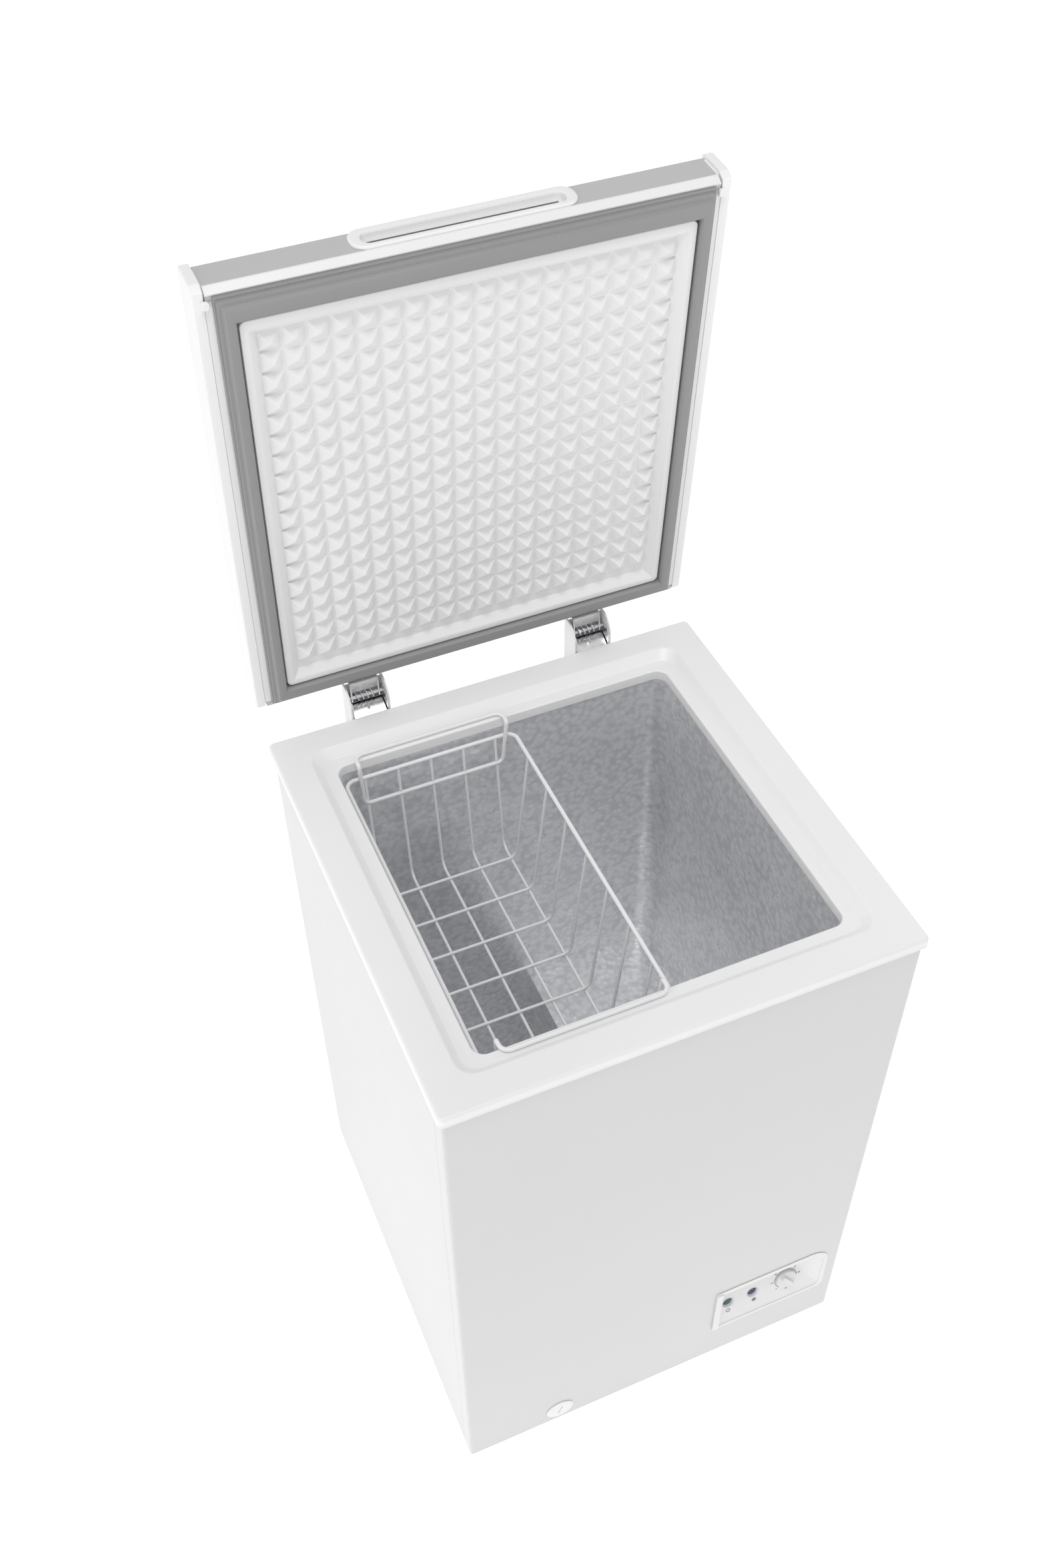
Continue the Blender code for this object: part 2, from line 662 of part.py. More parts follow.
def thermostat_knob():
    """Low disc with a raised finger bar, on a short spindle."""
    profile = [(0.0, 0.0040), (0.0132, 0.0040), (0.0140, 0.0030), (0.0140, 0.0004),
               (0.0030, 0.0004), (0.0030, -0.0100), (0.0, -0.0100)]
    spot = (DIAL_X, floor_y(DIAL_Z), DIAL_Z)
    obj = turned("thermostat_knob", profile, (0.0, 0.0, 0.0), TRIM, steps=32)
    obj.location = (0.0, 0.0, 0.0)
    bar = bpy.data.meshes.new("knob_bar")
    bm = bmesh.new()
    bmesh.ops.create_cube(bm, size=1.0)
    bmesh.ops.scale(bm, vec=(0.0240, 0.0050, 0.0056), verts=bm.verts[:])
    bmesh.ops.translate(bm, vec=(0.0, 0.0, 0.0058), verts=bm.verts[:])
    bmesh.ops.rotate(bm, cent=(0, 0, 0), verts=bm.verts[:],
                     matrix=Matrix.Rotation(math.radians(128.0), 3, "Z"))
    bm.to_mesh(bar)
    bm.free()
    tool = place("knob_bar", bar, cutter=True)
    join(obj, tool)
    where = Vector(spot) + Vector((0.0, BODY_Y, FOOT_H))
    for piece in (obj, tool):
        piece.location = where
        piece.rotation_euler = (FLOOR_TILT, 0.0, 0.0)
    return obj


# ---- drain -----------------------------------------------------------------------------
def drain_tube():
    """Elbow from the tub's floor to the front cap."""
    front = BODY_F + SHEET + GAP
    length = DRAIN_Y - front
    obj = rod("drain_tube", (DRAIN_X, front + length / 2, DRAIN_Z), PIPE_R, length, FACING_FRONT,
              TRIM, steps=24)
    top = TUB_Z - TUB_T - GAP
    low = DRAIN_Z - 0.010
    down = rod("drain_tube_down", (DRAIN_X, DRAIN_Y, (top + low) / 2), PIPE_R, top - low,
               (0.0, 0.0, 0.0), cutter=True, steps=24)
    join(obj, down)
    bore = PIPE_R - 0.0018
    cut(obj, rod("drain_bore", (DRAIN_X, front + length / 2 - 0.005, DRAIN_Z), bore,
                 length + 0.010, FACING_FRONT, cutter=True, steps=24))
    return cut(obj, rod("drain_bore_down", (DRAIN_X, DRAIN_Y, top - 0.0145), bore - 0.0006,
                        0.0350, (0.0, 0.0, 0.0), cutter=True, steps=24))


def drain_cap():
    """Coin-slot cap over the outlet on the front."""
    r = 0.0185
    profile = [(0.0, 0.0022), (r - 0.0020, 0.0020), (r, 0.0010), (r, GAP), (0.0098, GAP),
               (0.0098, -0.0080), (0.0080, -0.0080), (0.0080, -0.0016), (0.0, -0.0016)]
    obj = turned("drain_cap", profile, (DRAIN_X, BODY_F, DRAIN_Z), TRIM, FACING_FRONT, 32)
    slot = bpy.data.meshes.new("cap_slot")
    bm = bmesh.new()
    bmesh.ops.create_cube(bm, size=1.0)
    bmesh.ops.scale(bm, vec=(0.0024, 0.0170, 0.0030), verts=bm.verts[:])
    bmesh.ops.translate(bm, vec=(0.0, 0.0, 0.0022), verts=bm.verts[:])
    bmesh.ops.rotate(bm, cent=(0, 0, 0), verts=bm.verts[:],
                     matrix=Matrix.Rotation(math.radians(-20.0), 3, "Z"))
    bm.to_mesh(slot)
    bm.free()
    tool = place("cap_slot", slot, cutter=True)
    tool.location = Vector((DRAIN_X, BODY_F + BODY_Y, DRAIN_Z + FOOT_H))
    tool.rotation_euler = FACING_FRONT
    return cut(obj, tool)


def drain_plug():
    """Rubber plug in the tub's floor."""
    profile = [(0.0, 0.0100), (0.0040, 0.0100), (0.0045, 0.0040), (0.0145, 0.0034),
               (0.0150, GAP), (0.0088, GAP), (0.0080, -0.0110), (0.0, -0.0110)]
    return turned("drain_plug", profile, (DRAIN_X, DRAIN_Y, TUB_Z), BLACK, steps=24)


# ---- basket ----------------------------------------------------------------------------
def wire_basket():
    """Hanging basket: tapered tray with a hook flange at each end that sits on the ledge."""
    t = 0.0030
    x0 = BASKET_X - BASKET_W
    x1 = BASKET_X + BASKET_W
    d = BASKET_D
    k = BASKET_TAPER
    loops = [ring(x0 + k, x1 - k, -d + k, d - k, 0.014, BASKET_LOW, 3),
             ring(x0, x1, -d, d, 0.014, BASKET_TOP, 3),
             ring(x0 + t, x1 - t, -d + t, d - t, 0.012, BASKET_TOP, 3),
             ring(x0 + k + t, x1 - k - t, -d + k + t, d - k - t, 0.012, BASKET_LOW + t, 3)]
    obj = loft("wire_basket", loops, WHITE)
    for end in (-1, 1):
        profile = [(end * (d - t), BASKET_TOP - 0.004), (end * d, BASKET_TOP - 0.004),
                   (end * d, LEDGE_Z + 0.0005), (end * 0.2170, LEDGE_Z + 0.0005),
                   (end * 0.2170, LEDGE_Z + 0.0045), (end * (d - t), LEDGE_Z + 0.0045)]
        tool = prism("basket_hook_%d" % end, profile, "X", BASKET_X - 0.0880, BASKET_X + 0.0880,
                     cutter=True)
        join(obj, tool)
    return obj


# ---- hinges ----------------------------------------------------------------------------
def arc(radius, start, stop, count):
    """Points around the hinge axis in (y, z); angle 0 faces the front, 90 is up."""
    out = []
    for i in range(count + 1):
        a = math.radians(start + (stop - start) * i / count)
        out.append((HINGE_Y - radius * math.cos(a), HINGE_Z + radius * math.sin(a)))
    return out


def hinge_bracket(name, x):
    """Fixed leaf: plate on the back of the cabinet with two cheeks that hold the pin."""
    inner = 0.0200
    outer = 0.0215
    low = 0.7120
    foot_y = BODY_B + 0.0015
    neck = HALF_D + GAP
    under = CAB_H - SKIRT - 0.0005
    cheek = ([(foot_y, low), (0.2740, low), (0.2920, 0.7380), (0.2920, 0.8040)]
             + arc(0.0052, 180.0, 70.0, 5) + [(0.2790, 0.8190), (0.2720, 0.8175), (neck, 0.8120)]
             + [(neck, under), (foot_y, under)])
    obj = prism(name, cheek, "X", x - outer, x + outer, SHINY)
    space = [(foot_y + 0.0015, 0.7000), (0.2725, 0.7000), (0.2903, 0.7370), (0.2903, 0.8000),
             (0.3100, 0.8000), (0.3100, 0.8400), (0.2600, 0.8400), (0.2600, under - 0.008)]
    cut(obj, prism(name + "_space", space, "X", x - inner, x + inner, cutter=True))
    return cut(obj, rod(name + "_bore", (x, HINGE_Y, HINGE_Z), 0.0026, 0.06, ALONG_X,
                        cutter=True))


def hinge_cover(name, x):
    """White moulded cover around the fixed leaf, open to the front and top."""
    outer = 0.02365
    inner = 0.02185
    foot_y = BODY_B + 0.0016
    neck = HALF_D + GAP
    under = CAB_H - SKIRT - 0.0005
    back = 0.2968
    shape = ([(foot_y, 0.7000), (0.2840, 0.7000), (back, 0.7220), (back, HINGE_Z + 0.0150)]
             + arc(0.0214, 110.0, 14.0, 7) + [(neck, under), (foot_y, under)])
    obj = prism(name, shape, "X", x - outer, x + outer, TRIM)
    wall = 0.0016
    space = [(0.2500, 0.7000 + wall), (0.2832, 0.7000 + wall), (back - wall, 0.7228),
             (back - wall, 0.8600), (0.2500, 0.8600)]
    cut(obj, prism(name + "_space", space, "X", x - inner, x + inner, cutter=True))
    notch = block(name + "_notch", (x - inner, x + inner), (0.2900, 0.3100),
                  (HINGE_Z + 0.0150, 0.9), cutter=True)
    return cut(obj, notch)


def hinge_pin(name, x):
    return rod(name, (x, HINGE_Y, HINGE_Z), 0.0023, 0.0428, ALONG_X, SHINY)


def hinge_spring(name, x):
    """Coil of the balance spring around the pin, drawn at rest."""
    turns = 4
    per_turn = 9
    half = 0.0120
    total = turns * per_turn
    path = []
    for i in range(total + 1):
        a = math.tau * i / per_turn
        path.append((x - half + 2 * half * i / total, HINGE_Y + 0.0046 * math.cos(a),
                     HINGE_Z + 0.0046 * math.sin(a)))
    return wire(name, path, 0.0012, SHINY)


def hinge_leaf(name, x):
    """Moving leaf: two arms on the pin, a web, and a flange on the rear of the lid."""
    outer = 0.0172
    inner = 0.0156
    flange_s = LID_REAR - GAP
    web = (0.0052, 0.0068)
    t = 0.0015

    def spot(s, n):
        return (LID_Y - s, LID_Z + n)

    arm = ([spot(flange_s, web[0]), spot(flange_s, 0.0420), spot(flange_s - t, 0.0420),
            spot(flange_s - t, 0.0150), spot(-0.0440, 0.0100)]
           + arc(0.0050, 80.0, 270.0, 7) + [spot(-0.0450, 0.0020)])
    obj = prism(name, arm, "X", x - outer, x + outer, SHINY)
    above = [spot(flange_s - t, web[1]), spot(flange_s - t, 0.0600), spot(-0.0700, 0.0600),
             spot(-0.0700, -0.0200), spot(-0.0455, -0.0200), spot(-0.0455, web[1])]
    cut(obj, prism(name + "_above", above, "X", x - inner, x + inner, cutter=True))
    below = [spot(-0.0455 - t, web[0]), spot(0.0, web[0]), spot(0.0, -0.0300),
             spot(-0.0455 - t, -0.0300)]
    cut(obj, prism(name + "_below", below, "X", x - inner, x + inner, cutter=True))
    return cut(obj, rod(name + "_bore", (x, HINGE_Y, HINGE_Z), 0.0027, 0.06, ALONG_X,
                        cutter=True))


def hinge_cap(name, x):
    """White cap over the moving leaf's flange on the rear of the lid."""
    outer = 0.02365
    back = LID_REAR - GAP
    wall = 0.0015

    def zone(s0, s1, n0, n1, half, label, colour, cutter):
        return block(label, (x - half, x + half), (LID_Y - s0, LID_Y - s1),
                     (LID_Z + n0, LID_Z + n1), colour, cutter)

    obj = zone(back, -0.0375, 0.0205, 0.0470, outer, name, TRIM, False)
    space = zone(back + 0.01, -0.0375 + wall, 0.0100, 0.0470 - wall, outer - wall,
                 name + "_space", None, True)
    return cut(obj, space)


# ---- lid -------------------------------------------------------------------------------
def lid_ring(half, s0, s1, r, n, seg=4):
    return [(x, LID_Y - s, LID_Z + n) for x, s in rect(-half, half, s0, s1, r, seg)]


def lid_skin():
    """Painted steel outer skin, bent over the front and the rear of the lid."""
    t = SHEET
    h = t / 2
    path = [(-0.0243, LID_BOT + h), (LID_REAR + h, LID_BOT + h), (LID_REAR + h, LID_TOP - h),
            (LID_FRONT - h, LID_TOP - h), (LID_FRONT - h, 0.0160), (0.4963, LID_BOT + h),
            (0.4906, LID_BOT + h)]
    rounded = fillet(path, [0, 0.001, 0.004, 0.003, 0.001, 0.001, 0], 3, False)
    spots = [(LID_Y - s, LID_Z + n) for s, n in rounded]
    obj = sheet("lid_skin", spots, "X", -0.2530, 0.2530, t, WHITE)
    hole = prism("skin_handle_hole", rect(-0.1045, 0.1045, LID_Z + 0.0195, LID_Z + 0.0440, 0.008),
                 "Y", LID_Y - 0.52, LID_Y - 0.49, cutter=True)
    return smooth(cut(obj, hole))


def lid_foam():
    """Insulating core of the lid."""
    edge = [(-0.0230, 0.0104), (-0.0294, 0.0104), (-0.0294, 0.0465), (-0.0263, 0.0496),
            (0.4965, 0.0496), (0.4995, 0.0466), (0.4995, 0.0180), (0.4950, 0.0104)]
    spots = [(LID_Y - s, LID_Z + n) for s, n in edge]
    obj = prism("lid_foam", spots, "X", -0.2520, 0.2520, FOAM)
    pocket = block("foam_handle_pocket", (-0.1045, 0.1045), (LID_Y - 0.52, LID_Y - 0.4835),
                   (LID_Z + 0.0190, LID_Z + 0.0445), cutter=True)
    return cut(obj, pocket)


def lid_inner_panel():
    """Vacuum-formed white liner of the lid: a rim standing proud of a shallow tray."""
    t = 0.0014
    deep = 0.0085
    loops = [lid_ring(0.2105, 0.0165, 0.4485, 0.003, deep),
             lid_ring(0.2190, 0.0080, 0.4570, 0.003, 0.0006),
             lid_ring(0.2196, 0.0074, 0.4576, 0.003, 0.0),
             lid_ring(0.2260, 0.0010, 0.4673, 0.006, 0.0),
             lid_ring(0.2270, 0.0000, 0.4683, 0.006, 0.0010),
             lid_ring(0.2270, 0.0000, 0.4683, 0.006, deep),
             lid_ring(0.2512, -0.0240, 0.4902, 0.002, deep),
             lid_ring(0.2512, -0.0240, 0.4902, 0.002, deep + t),
             lid_ring(0.2256, 0.0014, 0.4669, 0.005, deep + t),
             lid_ring(0.2256, 0.0014, 0.4669, 0.005, t),
             lid_ring(0.2200, 0.0070, 0.4580, 0.004, t),
             lid_ring(0.2112, 0.0158, 0.4492, 0.003, deep + t)]
    return smooth(loft("lid_inner_panel", loops, TRIM))


def lid_gasket():
    """Magnetic seal around the underside of the lid, mitred at the corners."""
    top = LID_BOT - GAP

    def between(f, n):
        half = 0.2460 + (0.2290 - 0.2460) * f
        s0 = -0.0250 + (-0.0020 + 0.0250) * f
        s1 = 0.4950 + (0.4700 - 0.4950) * f
        return lid_ring(half, s0, s1, 0.0008, n, 1)

    loops = [between(0.0, top), between(0.0, 0.0030), between(0.10, 0.0010),
             between(0.16, -0.0035), between(0.30, -0.0050), between(0.86, -0.0050),
             between(1.0, -0.0030), between(1.0, top)]
    return loft("lid_gasket", loops, ((0.62, 0.62, 0.62), 0.6), closed=True)


def end_cap(name, side):
    """Moulded plastic cap closing one side of the lid, hollow on its inner face."""
    proud = 0.0036
    outline = fillet([(LID_REAR, LID_BOT), (LID_REAR, CAP_TOP), (LID_FRONT + proud, CAP_TOP),
                      (LID_FRONT + proud, 0.0170), (LID_FRONT - 0.0010, LID_BOT)],
                     [0.003, CAP_CORNER, 0.004, 0.002, 0.002], 3)
    spots = [(LID_Y - s, LID_Z + n) for s, n in outline]
    inner = 0.2533
    outer = HALF_W
    lo = min(side * inner, side * outer)
    hi = max(side * inner, side * outer)
    obj = prism(name, spots, "X", lo, hi, TRIM)
    soften(obj, 0.0014, 2, 60.0)
    wall = 0.0022
    space = block(name + "_space", sorted((side * (inner - 0.01), side * (outer - wall))),
                  (LID_Y - LID_FRONT + wall, LID_Y - LID_REAR - wall),
                  (LID_Z + LID_BOT + wall, LID_Z + CAP_TOP - wall), cutter=True)
    return cut(obj, space)


def lid_handle():
    """Raised surround on the front of the lid with a finger recess."""
    face = LID_FRONT + GAP
    front = LID_FRONT + 0.0035

    def outline(inset, s, n0, n1, half, r):
        return [(x, LID_Y - s, LID_Z + n)
                for x, n in rect(-half + inset, half - inset, n0 + inset, n1 - inset, r, 5)]

    def surround(inset, s):
        return outline(inset, s, 0.0170, 0.0490, 0.1115, 0.0140 - inset)

    def opening(inset, s):
        return outline(inset, s, 0.0225, 0.0400, 0.1005, 0.0080 - inset)

    loops = [opening(-0.0018, 0.4845), opening(-0.0018, face), surround(0.0, face),
             surround(0.0, front - 0.0014), surround(0.0005, front - 0.0005),
             surround(0.0016, front), opening(-0.0004, front), opening(0.0, front - 0.0006),
             opening(0.0008, 0.4865)]
    return smooth(loft("lid_handle", loops, TRIM))


# ---- assembly --------------------------------------------------------------------------
def build():
    front_panel()
    side_panel("side_panel_left", -1)
    side_panel("side_panel_right", 1)
    back_panel()
    base_pan()
    foot("foot_front_left", -1, -0.2150)
    foot("foot_front_right", 1, -0.2150)
    foot("foot_rear_left", -1, 0.2150)
    foot("foot_rear_right", 1, 0.2150)
    foam_insulation()
    inner_liner()
    top_frame()
    evaporator_coil()
    condenser_coil()
    machine_room_sheet()
    machine_cover()
    lead_gland()
    compressor_shell()
    compressor_plate()
    names = ("compressor_mount_front_left", "compressor_mount_rear_left",
             "compressor_mount_front_right", "compressor_mount_rear_right")
    for name, spot in zip(names, mount_spots()):
        compressor_mount(name, spot)
    relay_cover()
    filter_dryer()
    suction_line()
    discharge_line()
    control_bezel()
    lens("power_light", POWER_X, ((0.10, 0.75, 0.70), 0.2))
    lens("run_light", RUN_X, ((0.12, 0.35, 0.85), 0.2))
    thermostat_body()
    drain_tube()
    for label, x in (("left", -HINGE_X), ("right", HINGE_X)):
        hinge_bracket("hinge_bracket_" + label, x)
        hinge_cover("hinge_cover_" + label, x)
        hinge_pin("hinge_pin_" + label, x)
        hinge_spring("hinge_spring_" + label, x)

    lid = [lid_skin(), lid_foam(), lid_inner_panel(), lid_gasket(),
           end_cap("lid_end_cap_left", -1), end_cap("lid_end_cap_right", 1), lid_handle()]
    for label, x in (("left", -HINGE_X), ("right", HINGE_X)):
        lid.append(hinge_leaf("hinge_leaf_" + label, x))
        lid.append(hinge_cap("hinge_cap_" + label, x))
    pivot("lid_axis", (0.0, HINGE_Y, HINGE_Z), lid + lid_tools(), -OPEN_ANGLE)

    thermostat_knob()
    drain_cap()
    drain_plug()
    wire_basket()


def lid_tools():
    """Cutters of the lid's parts travel with the lid."""
    names = ("skin_handle_hole", "foam_handle_pocket", "lid_end_cap", "hinge_leaf_", "hinge_cap_")
    return [obj for obj in CUTTERS.objects if obj.name.startswith(names)]


clear_scene()
KEEP = make_collection(PARTS, False)
CUTTERS = make_collection("cutters", True)
build()
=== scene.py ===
"""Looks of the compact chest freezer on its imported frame, with a studio, a floor and a camera."""
import math

import bmesh
import bpy
from mathutils import Matrix, Vector


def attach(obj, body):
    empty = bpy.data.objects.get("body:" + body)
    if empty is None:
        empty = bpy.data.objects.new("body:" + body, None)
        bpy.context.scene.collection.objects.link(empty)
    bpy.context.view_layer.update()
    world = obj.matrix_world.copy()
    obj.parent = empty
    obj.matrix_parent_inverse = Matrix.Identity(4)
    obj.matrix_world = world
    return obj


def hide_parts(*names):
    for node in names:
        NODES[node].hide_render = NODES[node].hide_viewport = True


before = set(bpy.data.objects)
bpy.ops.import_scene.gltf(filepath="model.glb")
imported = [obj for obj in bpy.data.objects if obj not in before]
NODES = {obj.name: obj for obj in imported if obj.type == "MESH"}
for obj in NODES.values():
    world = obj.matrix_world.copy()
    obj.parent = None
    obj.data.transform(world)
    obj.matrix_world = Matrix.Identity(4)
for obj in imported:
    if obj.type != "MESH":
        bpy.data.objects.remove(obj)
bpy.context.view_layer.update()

# ---- the object's datums in metres: X to the right, Y to the rear, Z up ----------------
BODY_Y = -0.0331967       # cabinet centre in the row frame
FOOT_H = 0.0100
OPEN_ANGLE = math.radians(85.45)
HALF_W = 0.26365            # top frame
HALF_D = 0.26650
CAB_H = 0.8000
HINGE_Y = 0.2880
HINGE_Z = 0.8106
HINGE_X = 0.13935
LID_Y = HINGE_Y - 0.0534    # rear edge and face plane of the lid's inner panel, lid shut
LID_Z = HINGE_Z - 0.0048
LID_TOP = 0.0510            # lid skin, above that plane
LID_BOT = 0.0082
LID_FRONT = 0.5009          # and forwards of that edge
LID_REAR = -0.0310
SKIN_HALF = 0.2516          # half length of the skin between the end caps
LEDGE_Z = CAB_H - 0.0100    # basket ledge and lower lip of the top frame
LIP_Z = 0.7770
BODY_F = -HALF_D + 0.0039   # outer face of the front panel
RECESS_LOW = 0.0720         # lower edge of the control recess
RECESS_SLOPE = 0.25         # its floor leans back by this much per unit of height
POWER_X = 0.1050
RUN_X = 0.1410
LIGHT_Z = 0.1070
DIAL_X = 0.1898
DIAL_Z = 0.1080
SHIFT = Matrix.Translation((0.0, BODY_Y, FOOT_H))
TO_HINGE = Matrix.Translation((0.0, HINGE_Y, HINGE_Z))
LID_OPEN = SHIFT @ TO_HINGE @ Matrix.Rotation(-OPEN_ANGLE, 4, "X") @ TO_HINGE.inverted()


# ---- mesh helpers ----------------------------------------------------------------------
def put(obj, body, mat, replaces=()):
    """Link a finished piece, give it its material and let it ride on its CAD body."""
    if obj.name not in bpy.context.scene.collection.objects:
        bpy.context.scene.collection.objects.link(obj)
    if mat is not None:
        obj.data.materials.clear()
        obj.data.materials.append(mat)
    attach(obj, body)
    if replaces:
        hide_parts(*replaces)
    return obj


def mesh_object(name, verts, faces, lid=False):
    """Mesh in cabinet coordinates, moved to its place in the row frame."""
    mesh = bpy.data.meshes.new(name)
    mesh.from_pydata([tuple(v) for v in verts], [], faces)
    bm = bmesh.new()
    bm.from_mesh(mesh)
    bmesh.ops.recalc_face_normals(bm, faces=bm.faces[:])
    bm.to_mesh(mesh)
    bm.free()
    mesh.transform(LID_OPEN if lid else SHIFT)
    return bpy.data.objects.new(name, mesh)


def smooth(obj, angle=32.0):
    """Smooth shading with edges above the angle, in degrees, kept sharp."""
    obj.data.shade_smooth()
    obj.data.set_sharp_from_angle(angle=math.radians(angle))
    return obj


def soften(obj, width, segments=3, angle=30.0):
    """Round the edges sharper than the angle."""
    mod = obj.modifiers.new("edges", "BEVEL")
    mod.width = width
    mod.segments = segments
    mod.limit_method = "ANGLE"
    mod.angle_limit = math.radians(angle)
    mod.harden_normals = True
    return obj


def fillet(points, radius, seg=8, closed=True):
    """Round the corners of a flat outline; radius is one number or one per corner."""
    out = []
    count = len(points)
    for i, point in enumerate(points):
        r = radius[i] if isinstance(radius, (list, tuple)) else radius
        if r <= 0.0 or (not closed and i in (0, count - 1)):
            out.append(tuple(point))
            continue
        here = Vector(point)
        back = (Vector(points[i - 1]) - here).normalized()
        ahead = (Vector(points[(i + 1) % count]) - here).normalized()
        half = back.angle(ahead) / 2
        centre = here + (back + ahead).normalized() * (r / math.sin(half))
        start = here + back * (r / math.tan(half)) - centre
        end = here + ahead * (r / math.tan(half)) - centre
        for k in range(seg + 1):
            arm = start.slerp(end, k / seg) if len(here) == 3 else start.lerp(end, k / seg)
            arm = arm.normalized() * r
            out.append(tuple(centre + arm))
    return out


def rect(x0, x1, y0, y1, r=0.0, seg=8):
    """Flat outline of a rectangle with rounded corners."""
    return fillet([(x0, y0), (x1, y0), (x1, y1), (x0, y1)], r, seg)


def ring(x0, x1, y0, y1, r, z, seg=8):
    """The same outline at a height."""
    return [(x, y, z) for x, y in rect(x0, x1, y0, y1, r, seg)]


def lid_ring(half, s0, s1, r, n, seg=6):
    """Outline on the shut lid: s runs forwards from the rear edge, n up from the panel."""
    return [(x, LID_Y - s, LID_Z + n) for x, s in rect(-half, half, s0, s1, r, seg)]


def lift(axis, a, b, c):
    """Put a flat point (a, b) at c along an axis."""
    if axis == "X":
        return (c, a, b)
    if axis == "Y":
        return (a, c, b)
    return (a, b, c)


def loft(name, loops, closed=False, lid=False, caps=True):
    """Skin through loops of equal length; open lofts are capped at both ends."""
    n = len(loops[0])
    verts = [v for loop in loops for v in loop]
    faces = []
    count = len(loops)
    for i in range(count if closed else count - 1):
        a = i * n
        b = ((i + 1) % count) * n
        for k in range(n):
            m = (k + 1) % n
            faces.append((a + k, a + m, b + m, b + k))
    if not closed and caps:
        faces.append(tuple(range(n)))
        faces.append(tuple(range((count - 1) * n, count * n)))
    return mesh_object(name, verts, faces, lid)


def prism(name, outline, axis, lo, hi, lid=False):
    """Flat outline pulled along an axis from lo to hi."""
    loops = [[lift(axis, a, b, c) for a, b in outline] for c in (lo, hi)]
    return loft(name, loops, lid=lid)


def cone(name, radius, depth, matrix, segments=32, top=None):
    """Round pin or hole cutter; top is the upper radius where it differs."""
    mesh = bpy.data.meshes.new(name)
    bm = bmesh.new()
    bmesh.ops.create_cone(bm, cap_ends=True, segments=segments, radius1=radius,
                          radius2=radius if top is None else top, depth=depth)
    bm.to_mesh(mesh)
    bm.free()
    mesh.transform(SHIFT @ matrix)
    return bpy.data.objects.new(name, mesh)


def wires(name, paths, radius, closed, sides=4):
    """Round wires through points in cabinet coordinates."""
    curve = bpy.data.curves.new(name, "CURVE")
    curve.dimensions = "3D"
    curve.bevel_depth = radius
    curve.bevel_resolution = sides
    curve.use_fill_caps = True
    for path, loop in zip(paths, closed):
        spline = curve.splines.new("POLY")
        spline.points.add(len(path) - 1)
        for slot, p in zip(spline.points, path):
            spot = SHIFT @ Vector(p)
            slot.co = (spot.x, spot.y, spot.z, 1.0)
        spline.use_cyclic_u = loop
        spline.use_smooth = True
    return bpy.data.objects.new(name, curve)


def tool(obj, target, operation="DIFFERENCE"):
    """Cut or join target with obj, then drop obj."""
    bpy.context.scene.collection.objects.link(obj)
    if target.name not in bpy.context.scene.collection.objects:
        bpy.context.scene.collection.objects.link(target)
    mod = target.modifiers.new("cut", "BOOLEAN")
    mod.operation = operation
    mod.solver = "EXACT"
    mod.object = obj
    depsgraph = bpy.context.evaluated_depsgraph_get()
    mesh = bpy.data.meshes.new_from_object(target.evaluated_get(depsgraph))
    target.modifiers.clear()
    target.data = mesh
    bpy.data.objects.remove(obj, do_unlink=True)
    return target


# ---- materials -------------------------------------------------------------------------
def shader(name, rough, metal=0.0):
    """New material: (material, node tree, its Principled node)."""
    mat = bpy.data.materials.new(name)
    mat.use_nodes = True
    bsdf = mat.node_tree.nodes["Principled BSDF"]
    bsdf.inputs["Roughness"].default_value = rough
    bsdf.inputs["Metallic"].default_value = metal
    return mat, mat.node_tree, bsdf


def coords(tree):
    return tree.nodes.new("ShaderNodeTexCoord").outputs["Object"]


def noise(tree, scale, detail=3.0, rough=0.5, where=None):
    node = tree.nodes.new("ShaderNodeTexNoise")
    node.inputs["Scale"].default_value = scale
    node.inputs["Detail"].default_value = detail
    node.inputs["Roughness"].default_value = rough
    tree.links.new(where or coords(tree), node.inputs["Vector"])
    return node.outputs["Fac"]


def tint(tree, bsdf, fac, dark, light):
    """Base colour that runs from dark to light with fac."""
    ramp = tree.nodes.new("ShaderNodeValToRGB")
    ramp.color_ramp.elements[0].position = 0.3
    ramp.color_ramp.elements[1].position = 0.7
    ramp.color_ramp.elements[0].color = (*dark, 1.0)
    ramp.color_ramp.elements[1].color = (*light, 1.0)
    tree.links.new(fac, ramp.inputs["Fac"])
    tree.links.new(ramp.outputs["Color"], bsdf.inputs["Base Color"])


def sheen_map(tree, bsdf, fac, lo, hi):
    """Roughness that runs from lo to hi with fac."""
    span = tree.nodes.new("ShaderNodeMapRange")
    span.inputs["To Min"].default_value = lo
    span.inputs["To Max"].default_value = hi
    tree.links.new(fac, span.inputs["Value"])
    tree.links.new(span.outputs["Result"], bsdf.inputs["Roughness"])


def relief(tree, bsdf, height, strength, depth):
    """Bump from a height, depth in metres."""
    bump = tree.nodes.new("ShaderNodeBump")
    bump.inputs["Strength"].default_value = strength
    bump.inputs["Distance"].default_value = depth
    tree.links.new(height, bump.inputs["Height"])
    tree.links.new(bump.outputs["Normal"], bsdf.inputs["Normal"])


def moulded(name, colour, rough, grain=900.0, strength=0.04):
    """Injection-moulded plastic: faint cloudiness and a very fine grain."""
    mat, tree, bsdf = shader(name, rough)
    dark = tuple(c * 0.975 for c in colour)
    tint(tree, bsdf, noise(tree, 5.0, 2.0), dark, colour)
    sheen_map(tree, bsdf, noise(tree, 40.0, 3.0), rough - 0.03, rough + 0.05)
    relief(tree, bsdf, noise(tree, grain, 2.0), strength, 0.0003)
    return mat


